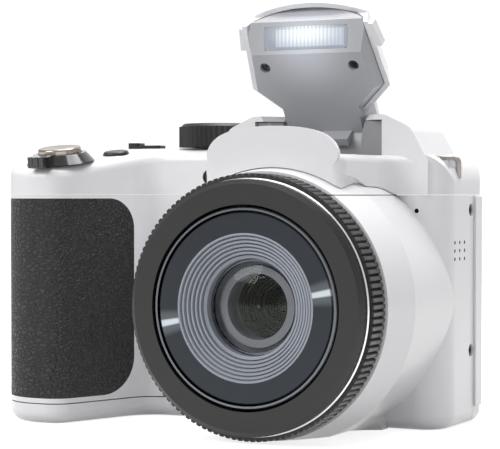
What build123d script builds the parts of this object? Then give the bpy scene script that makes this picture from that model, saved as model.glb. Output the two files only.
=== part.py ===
from build123d import *
from math import atan2, cos, pi, radians, sin, tan
import os

os.makedirs("parts", exist_ok=True)

# A bridge camera, in millimetres. The origin is the mouth of the tripod socket. +Z is up, the
# lens looks along -Y, and the hand grip is at -X. The flash is up when every joint is at rest.

# Driving sizes of the casing
body_right = 35.0
grip_left = 82.0
front_face = 14.5
rear_face = 16.0
grip_reach = 44.0
grip_root = 50.0
grip_nose = 60.5
seam_height = 59.8
deck_height = 72.6
right_deck_height = 70.6
grip_deck_height = 66.8
slope_end = 8.0
wall = 2.0
seam = 0.2
overrun = 4.0
corner_round = 8.0
grip_round = 15.0
nose_round = 7.0
rear_round = 4.0
base_round = 3.4
shell_split = 7.5
base_cover_height = 5.2
base_cover_end = 24.0

# Driving sizes of the lens
axis_height = 32.8
ring_reach = 58.0
ring_radius = 31.0
ring_bore = 24.9
knurl_radius = 32.4
barrel_radius = 24.4
inner_barrel_radius = 23.2
lens_depth = 50.0
running_gap = 0.3
fit_gap = 0.05

# Driving sizes of the pop-up flash, with the head folded down as its own frame
hinge_back = 2.5
hinge_height = 72.4
fold_angle = 56.0
head_length = 42.5
head_top = 9.0
head_half_width = 19.5
neck_half_width = 10.6
head_neck_along = 10.2
head_shoulder_along = 18.6
head_crown_half = 17.5
head_crown_along = 38.9

# Planes and axes that the pieces share
lens_side = Plane(origin=(0, -ring_reach, axis_height), x_dir=(0, 1, 0), z_dir=(1, 0, 0))
lens_face = Plane(origin=(0, -ring_reach, axis_height), x_dir=(1, 0, 0), z_dir=(0, 1, 0))
lens_line = Axis((0, -ring_reach, axis_height), (0, 1, 0))
fold_sin = sin(radians(fold_angle))
fold_cos = cos(radians(fold_angle))
hinge_point = (0, -hinge_back, hinge_height)
head_side = Plane(origin=hinge_point, x_dir=(0, -fold_cos, fold_sin), z_dir=(-1, 0, 0))
head_plan = Plane(origin=hinge_point, x_dir=(-1, 0, 0), z_dir=(0, fold_sin, fold_cos))
grip_slope = atan2(deck_height - grip_deck_height, grip_reach - slope_end)


def block(low, high, mode=Mode.ADD):
    """Add or cut the block between two opposite corners."""
    middle = [(a + b) / 2 for a, b in zip(low, high)]
    size = [b - a for a, b in zip(low, high)]
    with Locations(tuple(middle)):
        Box(*size, mode=mode)


def turned(points, mode=Mode.ADD):
    """Turn a closed outline of (depth, radius) points round the lens axis."""
    with BuildSketch(lens_side) as profile:
        with BuildLine():
            Polyline(*points, close=True)
        make_face()
    revolve(profile.sketch, axis=lens_line, mode=mode)


def sleeve(start, end, outer, inner, mode=Mode.ADD):
    """A plain ring round the lens axis, between two depths behind the front ring's face."""
    with BuildSketch(lens_face.offset(start)) as profile:
        Circle(outer)
        if inner > 0:
            Circle(inner, mode=Mode.SUBTRACT)
    extrude(profile.sketch, amount=end - start, mode=mode)


def ribbed_outline(root, tip, count):
    """A closed saw-tooth outline: one root point and one tip point for each rib."""
    points = []
    for index in range(count):
        root_angle = 2 * pi * index / count
        tip_angle = 2 * pi * (index + 0.5) / count
        points.append((root * cos(root_angle), root * sin(root_angle)))
        points.append((tip * cos(tip_angle), tip * sin(tip_angle)))
    return points


def ridged_outline(root, tip, count, ridge_share):
    """A closed outline of flat-topped ridges with a narrow groove between each two."""
    points = []
    for index in range(count):
        for radius, turn in ((root, 0), (tip, (1 - ridge_share) / 2), (tip, (1 + ridge_share) / 2)):
            angle = 2 * pi * (index + turn) / count
            points.append((radius * cos(angle), radius * sin(angle)))
    return points


def deck_plane(x, y, lift):
    """The plane on the grip's sloping deck over a place, raised off it by a lift."""
    height = grip_deck_height + (grip_reach + y) * tan(grip_slope)
    normal = (0, -sin(grip_slope), cos(grip_slope))
    return Plane(origin=(x, y, height), x_dir=(1, 0, 0), z_dir=normal).offset(lift)


# Plan of the lower body, seen from above
with BuildSketch() as body_plan:
    with BuildLine():
        Polyline(
            (body_right, rear_face),
            (body_right, -front_face),
            (-grip_root, -front_face),
            (-grip_nose, -grip_reach),
            (-grip_left, -grip_reach),
            (-grip_left, rear_face),
            close=True,
        )
    make_face()
    for corner, radius in (
        ((body_right, rear_face), rear_round),
        ((body_right, -front_face), corner_round),
        ((-grip_root, -front_face), corner_round),
        ((-grip_nose, -grip_reach), nose_round),
        ((-grip_left, -grip_reach), grip_round),
        ((-grip_left, rear_face), rear_round),
    ):
        fillet(body_plan.vertices().sort_by_distance((*corner, 0))[0], radius)


def plan_block(low, high, inset, mode=Mode.ADD):
    """A block with the body's plan, drawn in by an inset, between two heights."""
    with BuildSketch(Plane.XY.offset(low)) as profile:
        add(body_plan.sketch)
        if inset > 0:
            offset(amount=-inset)
    extrude(profile.sketch, amount=high - low, mode=mode)


# The collar is the round part of the front shell that stands behind the knurled ring
collar_start = 10.6
collar_radius = 33.0
collar_full_depth = 23.5
collar_full_radius = 35.0
collar_flare = 8.0
front_depth = ring_reach - front_face
housing_radius = 29.0
housing_wall = 1.0


def collar(grow, mode=Mode.ADD):
    """The collar's plain cone, made larger all round by a gap."""
    turned(
        [
            (collar_start, 0),
            (collar_start, collar_radius + grow),
            (collar_full_depth, collar_full_radius + grow),
            (front_depth, collar_full_radius + grow),
            (front_depth, 0),
        ],
        mode,
    )


# Rubber pad: its edge on the finger side, its edge on the palm side and its corners
rubber_thickness = 1.0
rubber_low = 6.7
rubber_high = 59.0
rubber_finger_edge = 19.5
rubber_palm_edge = 5.0
rubber_top_corner = 8.0
rubber_low_corner = 10.0
rubber_middle = 66.0


def rubber_window(mode):
    """The space that the grip pad fills, as two rounded windows seen from the side."""
    for edge, start, end in (
        (rubber_finger_edge, -rubber_middle, -grip_root + overrun),
        (rubber_palm_edge, -grip_left - overrun, -rubber_middle),
    ):
        with BuildSketch(Plane.YZ.offset(start)) as window:
            with BuildLine():
                Polyline(
                    (-grip_reach - overrun, rubber_low),
                    (-edge, rubber_low),
                    (-edge, rubber_high),
                    (-grip_reach - overrun, rubber_high),
                    close=True,
                )
            make_face()
            fillet(window.vertices().sort_by_distance((-edge, rubber_low, 0))[0], rubber_low_corner)
            fillet(window.vertices().sort_by_distance((-edge, rubber_high, 0))[0], rubber_top_corner)
        extrude(window.sketch, amount=end - start, mode=mode)


# The flare that leads from the collar to the body's front, drawn in softly at the right corner
flare_corner = 16.0

with BuildPart() as flare:
    with BuildSketch(lens_side):
        with BuildLine():
            flare_start = front_depth - collar_flare
            flare_line = Line((flare_start, collar_full_radius), (flare_start, 0))
            Line(flare_line @ 1, (front_depth + wall, 0))
            Line((front_depth + wall, 0), (front_depth + wall, collar_full_radius + collar_flare))
            Line((front_depth + wall, collar_full_radius + collar_flare),
                 (front_depth, collar_full_radius + collar_flare))
            RadiusArc((front_depth, collar_full_radius + collar_flare),
                      (flare_start, collar_full_radius), collar_flare)
        make_face()
    revolve(axis=lens_line)
    with BuildSketch(Plane.XY.offset(-ring_reach)):
        with Locations((body_right - flare_corner, flare_corner - front_face + overrun)):
            Circle(flare_corner)
        with Locations((body_right - flare_corner - 2 * ring_reach, 0)):
            Rectangle(4 * ring_reach, 4 * ring_reach)
    extrude(amount=4 * ring_reach, mode=Mode.INTERSECT)

# The whole lower casing as one solid, before it is parted into its shells
with BuildPart() as lower_body:
    plan_block(0, seam_height, 0)
    fillet(lower_body.edges().group_by(Axis.Z)[0], base_round)
    add(flare.part)
    sleeve(front_depth, front_depth + corner_round, collar_full_radius, 0)
    block(
        (-grip_left - overrun, -ring_reach, 0),
        (body_right, rear_face + overrun, seam_height),
        Mode.INTERSECT,
    )
    collar(0)
    block(
        (-grip_left - overrun, -ring_reach, -overrun - collar_full_radius),
        (body_right, rear_face + overrun, 0),
        Mode.SUBTRACT,
    )
    block(
        (body_right, -ring_reach, 0),
        (body_right + overrun, rear_face + overrun, seam_height + collar_full_radius),
        Mode.SUBTRACT,
    )

# Small holes through the casing
speaker_rows = 3
speaker_hole = 0.5
speaker_pitch_y = 3.6
speaker_pitch_z = 2.1
speaker_back = 3.0
speaker_height = 45.6
side_screw_back = 5.6
side_screw_low = 19.3
side_screw_high = 56.0
screw_head = 1.5
screw_shank = 0.8
screw_head_depth = 1.1
screw_length = 6.0
screw_sink = 0.4
mic_x = 27.5
mic_height = 55.9
mic_hole = 0.6

# Tripod socket, a standard 1/4-20 insert
socket_thread = 3.175
socket_radius = 5.2
socket_length = 9.0
socket_flange = 7.5
socket_flange_height = 1.4
tongue_half_width = 9.0
tongue_back = 8.6

# Screws up through the base into the chassis feet
base_screw_x = 17.0
base_screw_back = 9.0

# Lugs on the rear shell that take the side screws
screw_lug_in = 28.8
screw_lug_reach = 2.8
screw_lug_root = 2.5
screw_lug_half = 2.5
screw_lug_front = side_screw_back - screw_lug_reach
screw_lug_back = shell_split + screw_lug_root

# The rear shell stands a little proud of the rest at its right edge
rear_proud = 0.6
rear_proud_low = 4.5
rear_proud_round = 0.5


# Socket cover on the palm side of the grip, just behind the rubber
port_low = 18.0
port_high = 40.0
port_front = 3.6
port_thickness = 1.4
port_gap = 0.25

with BuildPart() as pad_window:
    rubber_window(Mode.ADD)

with BuildPart() as grip_rubber:
    plan_block(rubber_low, rubber_high, 0)
    plan_block(rubber_low - overrun, rubber_high + overrun, rubber_thickness, Mode.SUBTRACT)
    add(pad_window.part, mode=Mode.INTERSECT)
grip_rubber.part.label = "grip_rubber"
export_step(grip_rubber.part, "parts/grip_rubber.step")

with BuildPart() as front_shell:
    add(lower_body.part)
    block(
        (-grip_left - overrun, shell_split, -overrun),
        (body_right + overrun, rear_face + overrun, seam_height + collar_full_radius),
        Mode.SUBTRACT,
    )
    block((-tongue_half_width, shell_split, 0), (tongue_half_width, tongue_back, wall))
    plan_block(wall, seam_height, wall, Mode.SUBTRACT)
    sleeve(-overrun, front_depth + overrun, housing_radius + running_gap, 0, Mode.SUBTRACT)
    block(
        (-grip_left - overrun, -grip_reach - overrun, -overrun),
        (-base_cover_end, shell_split + overrun, base_cover_height + seam),
        Mode.SUBTRACT,
    )
    with BuildSketch(Plane.YZ.offset(body_right - wall - overrun)):
        with Locations((-speaker_back, speaker_height)):
            with GridLocations(speaker_pitch_y, speaker_pitch_z, speaker_rows, speaker_rows):
                Circle(speaker_hole)
        with Locations((side_screw_back, side_screw_low), (side_screw_back, side_screw_high)):
            Circle(screw_shank + fit_gap)
    extrude(amount=wall + 2 * overrun, mode=Mode.SUBTRACT)
    with BuildSketch(Plane.YZ.offset(body_right - screw_head_depth)):
        with Locations((side_screw_back, side_screw_low), (side_screw_back, side_screw_high)):
            Circle(screw_head + seam)
    extrude(amount=overrun, mode=Mode.SUBTRACT)
    with BuildSketch(Plane.XZ.offset(front_face - wall - overrun)):
        with Locations((mic_x, mic_height)):
            Circle(mic_hole)
    extrude(amount=2 * overrun + wall, mode=Mode.SUBTRACT)
    with BuildSketch(Plane.XY.offset(-overrun)):
        Circle(socket_radius + fit_gap)
        with Locations((-base_screw_x, -base_screw_back), (base_screw_x, -base_screw_back)):
            Circle(screw_shank + fit_gap)
    extrude(amount=2 * overrun, mode=Mode.SUBTRACT)
    with BuildSketch(Plane.XY.offset(-overrun)):
        with Locations((-base_screw_x, -base_screw_back), (base_screw_x, -base_screw_back)):
            Circle(screw_head + seam)
    extrude(amount=overrun + screw_head_depth, mode=Mode.SUBTRACT)
    add(grip_rubber.part, mode=Mode.SUBTRACT)
    sleeve(collar_start + wall, front_depth + overrun, collar_radius - wall, 0, Mode.SUBTRACT)
    block(
        (-grip_left - overrun, -port_front, port_low),
        (-grip_left + wall + overrun, shell_split, port_high),
        Mode.SUBTRACT,
    )
front_shell.part.label = "front_shell"
export_step(front_shell.part, "parts/front_shell.step")

# Rear of the body: the screen's window and the buttons beside it
window_centre_x = -3.5
window_centre_z = 31.5
window_width = 64.0
window_height = 50.0
window_corner = 2.0
window_thickness = 1.2
window_proud = 0.2
screen_width = 61.0
screen_height = 46.6
screen_thickness = 4.0
button_radius = 2.9
button_proud = 0.7
button_gap = 0.2
button_flange = 0.8
button_flange_thickness = 0.8
button_column = 44.5
button_column_far = 66.5
video_row = 50.0
menu_row = 41.0
display_row = 11.0
pad_x = -55.5
pad_height = 27.0
pad_radius = 9.5
ok_radius = 3.9
thumb_x = -68.5
thumb_height = 51.4
thumb_width = 15.0
thumb_tall = 11.0
thumb_depth = 0.8
thumb_proud = 0.5
rear_button_places = (
    (-button_column, video_row),
    (-button_column, menu_row),
    (-button_column_far, menu_row),
    (-button_column, display_row),
)

with BuildPart() as rear_edge:
    with BuildSketch(Plane.XY.offset(rear_proud_low)) as rear_edge_plan:
        with BuildLine():
            Polyline(
                (body_right - rear_round, rear_face),
                (body_right + rear_proud, rear_face),
                (body_right + rear_proud, shell_split + seam),
                (body_right - rear_round, shell_split + seam),
                close=True,
            )
        make_face()
        fillet(rear_edge_plan.vertices().sort_by_distance((body_right, rear_face, 0))[0], rear_round)
    extrude(amount=seam_height - rear_proud_low)
    fillet(rear_edge.faces().sort_by(Axis.Z)[-1].edges().filter_by(
        lambda edge: edge.center().X > body_right - rear_round / 2), rear_proud_round)

with BuildPart() as rear_shell:
    add(lower_body.part)
    add(rear_edge.part)
    block(
        (-grip_left - overrun, -ring_reach, -overrun),
        (body_right + overrun, shell_split + seam, seam_height + collar_full_radius),
        Mode.SUBTRACT,
    )
    plan_block(wall, seam_height, wall, Mode.SUBTRACT)
    block(
        (-grip_left - overrun, -overrun, -overrun),
        (-base_cover_end, rear_face + overrun, base_cover_height + seam),
        Mode.SUBTRACT,
    )
    with BuildSketch(Plane.XZ.offset(-rear_face - overrun)):
        with Locations((window_centre_x, window_centre_z)):
            RectangleRounded(window_width + 2 * seam, window_height + 2 * seam, window_corner)
    extrude(amount=window_thickness + overrun - window_proud, mode=Mode.SUBTRACT)
    with BuildSketch(Plane.XZ.offset(-rear_face - overrun)):
        with Locations((window_centre_x, window_centre_z)):
            Rectangle(screen_width + 2 * seam, screen_height + 2 * seam)
        with Locations(*rear_button_places):
            Circle(button_radius + button_gap)
        with Locations((pad_x, pad_height)):
            Circle(pad_radius + button_gap)
    extrude(amount=wall + 2 * overrun, mode=Mode.SUBTRACT)
    with BuildSketch(Plane.XZ.offset(-rear_face - overrun)):
        with Locations((thumb_x, thumb_height)):
            RectangleRounded(thumb_width + 2 * fit_gap, thumb_tall + 2 * fit_gap, window_corner)
    extrude(amount=overrun + thumb_depth, mode=Mode.SUBTRACT)
    block(
        (-tongue_half_width - seam, shell_split, -overrun),
        (tongue_half_width + seam, tongue_back + seam, wall + seam),
        Mode.SUBTRACT,
    )
    for height in (side_screw_low, side_screw_high):
        block(
            (screw_lug_in, screw_lug_front, height - screw_lug_half),
            (body_right - wall - seam, screw_lug_back, height + screw_lug_half),
        )
        block(
            (body_right - wall - seam, shell_split + seam, height - screw_lug_half),
            (body_right - screw_head_depth, screw_lug_back, height + screw_lug_half),
        )
    with BuildSketch(Plane.YZ.offset(screw_lug_in - overrun)):
        with Locations((side_screw_back, side_screw_low), (side_screw_back, side_screw_high)):
            Circle(screw_shank + fit_gap)
    extrude(amount=2 * overrun + wall, mode=Mode.SUBTRACT)
rear_shell.part.label = "rear_shell"
export_step(rear_shell.part, "parts/rear_shell.step")

# Battery, and the door under the grip
battery_length = 49.0
battery_width = 34.5
battery_thickness = 10.0
battery_x = -69.5
battery_y = -17.5
battery_low = 2.2
battery_round = 1.5
chamber_wall = 0.8
chamber_gap = 0.3
door_thickness = 1.6
door_margin = 2.4
door_gap = 0.25
door_pin = 0.45
door_frame = 1.0
door_half_x = battery_thickness / 2 + door_margin
door_half_y = battery_width / 2 + door_margin
door_hinge_y = battery_y + door_half_y
chamber_half_x = battery_thickness / 2 + chamber_gap + chamber_wall
chamber_half_y = battery_width / 2 + chamber_gap + chamber_wall

with BuildPart() as base_cover:
    add(lower_body.part)
    block(
        (-grip_left - overrun, -ring_reach, 0),
        (-base_cover_end - seam, rear_face + overrun, base_cover_height),
        Mode.INTERSECT,
    )
    plan_block(wall, base_cover_height, wall, Mode.SUBTRACT)
    block(
        (battery_x - door_half_x - door_frame, battery_y - door_half_y - door_frame, wall),
        (
            battery_x + door_half_x + door_frame,
            door_hinge_y + door_thickness + door_frame,
            base_cover_height,
        ),
    )
    block(
        (battery_x - chamber_half_x + chamber_wall, battery_y - chamber_half_y + chamber_wall, -overrun),
        (
            battery_x + chamber_half_x - chamber_wall,
            battery_y + chamber_half_y - chamber_wall,
            base_cover_height,
        ),
        Mode.SUBTRACT,
    )
    block(
        (battery_x - door_half_x - door_gap, battery_y - door_half_y - door_gap, -overrun),
        (
            battery_x + door_half_x + door_gap,
            door_hinge_y + door_thickness / 2 + door_gap,
            door_thickness + seam,
        ),
        Mode.SUBTRACT,
    )
    with BuildSketch(Plane.YZ.offset(battery_x - door_half_x - wall)):
        with Locations((door_hinge_y, door_thickness / 2)):
            Circle(door_pin)
    extrude(amount=2 * door_half_x + 2 * wall, mode=Mode.SUBTRACT)
base_cover.part.label = "base_cover"
export_step(base_cover.part, "parts/base_cover.step")

with BuildPart() as battery_door:
    block(
        (battery_x - door_half_x, battery_y - door_half_y, 0),
        (battery_x + door_half_x, door_hinge_y, door_thickness),
    )
    with BuildSketch(Plane.YZ.offset(battery_x - door_half_x)):
        with Locations((door_hinge_y, door_thickness / 2)):
            Circle(door_thickness / 2)
    extrude(amount=2 * door_half_x)
    with BuildSketch(Plane.YZ.offset(battery_x - door_half_x - overrun)):
        with Locations((door_hinge_y, door_thickness / 2)):
            Circle(door_pin + fit_gap)
    extrude(amount=2 * door_half_x + 2 * overrun, mode=Mode.SUBTRACT)
battery_door.part.label = "battery_door"
export_step(battery_door.part, "parts/battery_door.step")

with BuildPart() as battery_door_pin:
    with BuildSketch(Plane.YZ.offset(battery_x - door_half_x - wall)):
        with Locations((door_hinge_y, door_thickness / 2)):
            Circle(door_pin)
    extrude(amount=2 * door_half_x + 2 * wall)
battery_door_pin.part.label = "battery_door_pin"
export_step(battery_door_pin.part, "parts/battery_door_pin.step")

with BuildPart() as battery:
    block(
        (battery_x - battery_thickness / 2, battery_y - battery_width / 2, battery_low),
        (battery_x + battery_thickness / 2, battery_y + battery_width / 2, battery_low + battery_length),
    )
    fillet(battery.edges().filter_by(Axis.Z), battery_round)
battery.part.label = "battery"
export_step(battery.part, "parts/battery.step")

with BuildPart() as battery_chamber:
    block(
        (battery_x - chamber_half_x, battery_y - chamber_half_y, base_cover_height + seam),
        (
            battery_x + chamber_half_x,
            battery_y + chamber_half_y,
            battery_low + battery_length + chamber_gap + chamber_wall,
        ),
    )
    block(
        (battery_x - chamber_half_x + chamber_wall, battery_y - chamber_half_y + chamber_wall, 0),
        (
            battery_x + chamber_half_x - chamber_wall,
            battery_y + chamber_half_y - chamber_wall,
            battery_low + battery_length + chamber_gap,
        ),
        Mode.SUBTRACT,
    )
battery_chamber.part.label = "battery_chamber"
export_step(battery_chamber.part, "parts/battery_chamber.step")

# Memory card in its socket, beside the battery
card_width = 24.0
card_length = 32.0
card_thickness = 2.1
card_low = 7.0
card_wall = 0.6
card_gap = 0.2
card_x = battery_x + chamber_half_x + running_gap + card_wall + card_gap + card_thickness / 2
card_y = battery_y - running_gap
card_socket_length = 26.0

with BuildPart() as memory_card:
    block(
        (card_x - card_thickness / 2, card_y - card_width / 2, card_low),
        (card_x + card_thickness / 2, card_y + card_width / 2, card_low + card_length),
    )
memory_card.part.label = "memory_card"
export_step(memory_card.part, "parts/memory_card.step")

with BuildPart() as card_socket:
    block(
        (
            card_x - card_thickness / 2 - card_gap - card_wall,
            card_y - card_width / 2 - card_gap - card_wall,
            card_low + card_length + card_gap + card_wall - card_socket_length,
        ),
        (
            card_x + card_thickness / 2 + card_gap + card_wall,
            card_y + card_width / 2 + card_gap + card_wall,
            card_low + card_length + card_gap + card_wall,
        ),
    )
    block(
        (card_x - card_thickness / 2 - card_gap, card_y - card_width / 2 - card_gap, 0),
        (
            card_x + card_thickness / 2 + card_gap,
            card_y + card_width / 2 + card_gap,
            card_low + card_length + card_gap,
        ),
        Mode.SUBTRACT,
    )
card_socket.part.label = "card_socket"
export_step(card_socket.part, "parts/card_socket.step")

# Socket cover and the socket behind it
usb_depth = 4.4
usb_half_y = 2.7
usb_half_z = 4.6
usb_wall = 0.5

with BuildPart() as port_cover:
    block(
        (-grip_left, -port_front + port_gap, port_low + port_gap),
        (-grip_left + port_thickness, shell_split - port_gap, port_high - port_gap),
    )
port_cover.part.label = "port_cover"
export_step(port_cover.part, "parts/port_cover.step")

with BuildPart() as usb_socket:
    usb_y = (shell_split - port_front) / 2
    usb_z = (port_low + port_high) / 2
    block(
        (-grip_left + port_thickness + port_gap, usb_y - usb_half_y, usb_z - usb_half_z),
        (-grip_left + port_thickness + port_gap + usb_depth, usb_y + usb_half_y, usb_z + usb_half_z),
    )
    block(
        (-grip_left, usb_y - usb_half_y + usb_wall, usb_z - usb_half_z + usb_wall),
        (
            -grip_left + port_thickness + port_gap + usb_depth - usb_wall,
            usb_y + usb_half_y - usb_wall,
            usb_z + usb_half_z - usb_wall,
        ),
        Mode.SUBTRACT,
    )
usb_socket.part.label = "usb_socket"
export_step(usb_socket.part, "parts/usb_socket.step")

# Top cover: decks, the hump behind the flash, the brow over the lens and the flash's well
hump_height = 80.6
hump_flat = 18.5
hump_knee = 25.6
hump_knee_height = 77.4
hump_foot = 30.5
hump_back = 11.0
hump_round = 5.0
hump_back_round = 3.0
shoulder_round = 8.0
grip_edge_round = 3.2
brow_reach = 42.4
brow_wall = 1.5
brow_half_width = 17.9
brow_low = 67.3
brow_crown = 77.0
brow_width_shares = (0.916, 1.0, 0.955, 0.827, 0.615)
brow_height_shares = (0.0, 0.278, 0.505, 0.732, 0.887)
ledge_height = 70.0
nose_front_half = 19.0
nose_back_half = 20.0
nose_foot_half = 29.0
nose_front_round = 3.0
nose_inner_round = 8.0
nose_edge = 2.0
nose_neck_half = 18.4
nose_side_line = ((40.0, 64.9), (34.7, 64.1), (27.0, 61.8), (22.4, 59.6))
well_front_half = 16.9
well_back_half = 18.0
well_floor = 69.0
well_wall = 0.9
cheek_inner = 11.6
cheek_outer = 17.8
cheek_top = 79.0
cheek_back = 7.4
slot_floor = 63.6
cheek_front = 13.4
lamp_x = -31.6
lamp_height = 64.7
lamp_radius = 1.9
lamp_length = 3.6
cavity_low_top = 63.0
cavity_left = 71.0
cavity_right = 20.0
cavity_front = 10.0
cavity_back = 10.0
cavity_top = 70.2

# Strap lugs: a bent steel bar over a scoop, one at each shoulder
lug_y = -3.0
lug_bar_radius = 0.75
lug_bend = 1.6
lug_right_in = 29.0
lug_right_out = 34.6
lug_left_in = -74.5
lug_left_out = -80.9
lug_bar_height = 69.6
lug_foot_height = 64.2
lug_gap = 4.4
lug_half_opening = 5.3
lug_root = 0.9

# Controls on the top
lever_x = -65.9
lever_y = -34.0
lever_gap = 0.3
lever_height = 2.4
lever_low_radius = 9.0
lever_top_radius = 7.0
lever_bore = 5.9
lever_tab_radius = 12.1
lever_tab_root = 11.3
lever_tab_angle = 34.0
lever_tab_height = 2.85
lever_rib_steps = 8
lever_hub_radius = 4.0
lever_hub_length = 2.0
shutter_radius = 5.7
shutter_top = 4.2
shutter_dish = 0.3
shutter_stem = 2.0
power_x = -57.8
power_y = -18.8
power_radius = 3.5
power_proud = 1.0
drive_x = -57.0
drive_y = -3.0
drive_length = 10.0
drive_width = 5.0
drive_proud = 1.0
key_depth = 3.2
key_flange = 1.0
key_flange_thickness = 0.8
dial_x = -35.0
dial_y = -2.0
dial_radius = 10.9
dial_rib_depth = 0.5
dial_ribs = 44
dial_base = 0.3
dial_height = 6.4
dial_shaft = 2.5
dial_shaft_length = 4.6
dial_edge = 0.8


def lug_rod(x_in, x_out, radius, mode=Mode.ADD):
    """The bent bar of one strap lug, swept round its bend."""
    with BuildLine() as path:
        FilletPolyline(
            (x_in, lug_y, lug_bar_height),
            (x_out, lug_y, lug_bar_height),
            (x_out, lug_y, lug_foot_height),
            radius=lug_bend,
        )
    with BuildSketch(Plane(origin=(x_in, lug_y, lug_bar_height), z_dir=(1, 0, 0))) as section:
        Circle(radius)
    sweep(section.sketch, path=path.wire(), mode=mode)


def top_keys(grow, mode=Mode.ADD):
    """Wells for the three keys and the dial's shaft, larger than the parts by a gap."""
    with BuildSketch(deck_plane(lever_x, lever_y, -overrun - wall)) as lever_well:
        Circle(lever_hub_radius + grow)
    extrude(lever_well.sketch, amount=2 * overrun + wall, mode=mode)
    with BuildSketch(deck_plane(power_x, power_y, -overrun - wall)) as power_well:
        Circle(power_radius + grow)
    extrude(power_well.sketch, amount=2 * overrun + wall, mode=mode)
    with BuildSketch(Plane.XY.offset(deck_height - overrun - wall)) as deck_wells:
        with Locations((drive_x, drive_y)):
            RectangleRounded(drive_length + 2 * grow, drive_width + 2 * grow, drive_proud + grow)
        with Locations((dial_x, dial_y)):
            Circle(dial_shaft + fit_gap)
    extrude(deck_wells.sketch, amount=2 * overrun + wall, mode=mode)


def rim_edges(deck):
    """The outer edges of a deck's upward faces, without those on the middle plane."""
    upward = deck.faces().filter_by(lambda face: face.normal_at().Z > cos(grip_slope) - fit_gap)
    every_edge = [edge for face in upward for edge in face.edges()]
    return [
        edge for edge in every_edge
        if sum(edge.is_same(other) for other in every_edge) < 2 and edge.center().X < -overrun
    ]


with BuildPart() as left_deck:
    plan_block(seam_height + seam, deck_height, 0)
    with BuildSketch(Plane.YZ.offset(-grip_left - overrun)):
        with BuildLine():
            Polyline(
                (-grip_reach, 0),
                (-grip_reach, grip_deck_height),
                (-slope_end, deck_height),
                (rear_face, deck_height),
                (rear_face, 0),
                close=True,
            )
        make_face()
    extrude(amount=grip_left + overrun, mode=Mode.INTERSECT)
    fillet(rim_edges(left_deck), grip_edge_round)

with BuildPart() as right_deck:
    plan_block(seam_height + seam, right_deck_height, 0)
    with BuildSketch(Plane.XZ.offset(-rear_face - overrun)) as shoulder:
        with BuildLine():
            Polyline(
                (body_right - shoulder_round, right_deck_height),
                (body_right - shoulder_round, right_deck_height + overrun),
                (body_right + overrun, right_deck_height + overrun),
                (body_right + overrun, right_deck_height - shoulder_round),
                (body_right, right_deck_height - shoulder_round),
            )
            RadiusArc(
                (body_right, right_deck_height - shoulder_round),
                (body_right - shoulder_round, right_deck_height),
                -shoulder_round,
            )
        make_face()
    extrude(amount=rear_face + front_face + 2 * overrun, mode=Mode.SUBTRACT)
    block(
        (0, -front_face - overrun, seam_height),
        (body_right + overrun, rear_face + overrun, right_deck_height + overrun),
        Mode.INTERSECT,
    )

with BuildPart() as hump:
    with BuildSketch(Plane.XZ.offset(-hump_back)) as hump_profile:
        with BuildLine():
            Polyline(
                (-hump_foot, seam_height + seam),
                (-hump_foot, right_deck_height - wall),
                (-hump_knee, hump_knee_height),
                (-hump_flat, hump_height),
                (hump_flat, hump_height),
                (hump_knee, hump_knee_height),
                (hump_foot, right_deck_height - wall),
                (hump_foot, seam_height + seam),
                close=True,
            )
        make_face()
        for side in (-1, 1):
            for x, z in ((hump_knee, hump_knee_height), (hump_flat, hump_height)):
                fillet(hump_profile.vertices().sort_by_distance((side * x, z, 0))[0], hump_round)
    extrude(amount=hump_back + front_face)
    fillet(hump.edges().filter_by(lambda edge: edge.center().Y > hump_back - seam
                                  and edge.center().Z > right_deck_height), hump_back_round)

with BuildPart() as nose:
    with BuildSketch(Plane.XY.offset(seam_height + seam)) as nose_plan:
        with BuildLine():
            Polyline(
                (nose_foot_half, overrun - front_face),
                (nose_foot_half, -front_face),
                (nose_back_half, -front_face),
                (nose_front_half, -brow_reach),
                (-nose_front_half, -brow_reach),
                (-nose_back_half, -front_face),
                (-nose_foot_half, -front_face),
                (-nose_foot_half, overrun - front_face),
                close=True,
            )
        make_face()
        for side in (-1, 1):
            for x, y, radius in (
                (nose_back_half, -front_face, nose_inner_round),
                (nose_front_half, -brow_reach, nose_front_round),
            ):
                fillet(nose_plan.vertices().sort_by_distance((side * x, y, 0))[0], radius)
    extrude(amount=ledge_height - seam_height - seam)
    fillet(nose.faces().sort_by(Axis.Z)[-1].edges().filter_by(
        lambda edge: edge.center().Y < -front_face - seam), nose_edge)
    for side in (-1, 1):
        with BuildSketch(Plane.YZ.offset(side * nose_neck_half)) as below_line:
            with BuildLine():
                Polyline(
                    (-brow_reach - overrun, nose_side_line[0][1]),
                    *[(-reach, height) for reach, height in nose_side_line],
                    (-nose_side_line[-1][0], seam_height - overrun),
                    (-brow_reach - overrun, seam_height - overrun),
                    close=True,
                )
            make_face()
        extrude(amount=side * (nose_foot_half - nose_neck_half), mode=Mode.SUBTRACT)
    with BuildSketch(Plane.XZ.offset(brow_reach - brow_wall)):
        with BuildLine():
            brow_right_side = [
                (across * brow_half_width, brow_low + up * (brow_crown - brow_low))
                for across, up in zip(brow_width_shares, brow_height_shares)
            ]
            brow_left_side = [(-x, z) for x, z in brow_right_side]
            Line(brow_left_side[0], brow_right_side[0])
            Spline(*brow_right_side, (0, brow_crown), *reversed(brow_left_side))
        make_face()
    extrude(amount=brow_wall)

# Room for the flash head's neck as it swings up
swing_gap = 0.5
quarter_turn = 90

with BuildPart() as swing_room:
    with BuildSketch(Plane(origin=hinge_point, x_dir=(1, 0, 0), z_dir=(0, 0, -1))) as swing_plan:
        for side in (-1, 1):
            with BuildLine():
                Polyline(
                    (side * (neck_half_width + swing_gap), head_neck_along - swing_gap),
                    (side * (head_half_width + swing_gap), head_shoulder_along - swing_gap),
                    (side * (head_half_width + swing_gap), head_shoulder_along + overrun),
                    (side * (neck_half_width + swing_gap), head_shoulder_along + overrun),
                    close=True,
                )
            make_face()
    revolve(axis=Axis(hinge_point, (-1, 0, 0)), revolution_arc=quarter_turn)

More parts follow.
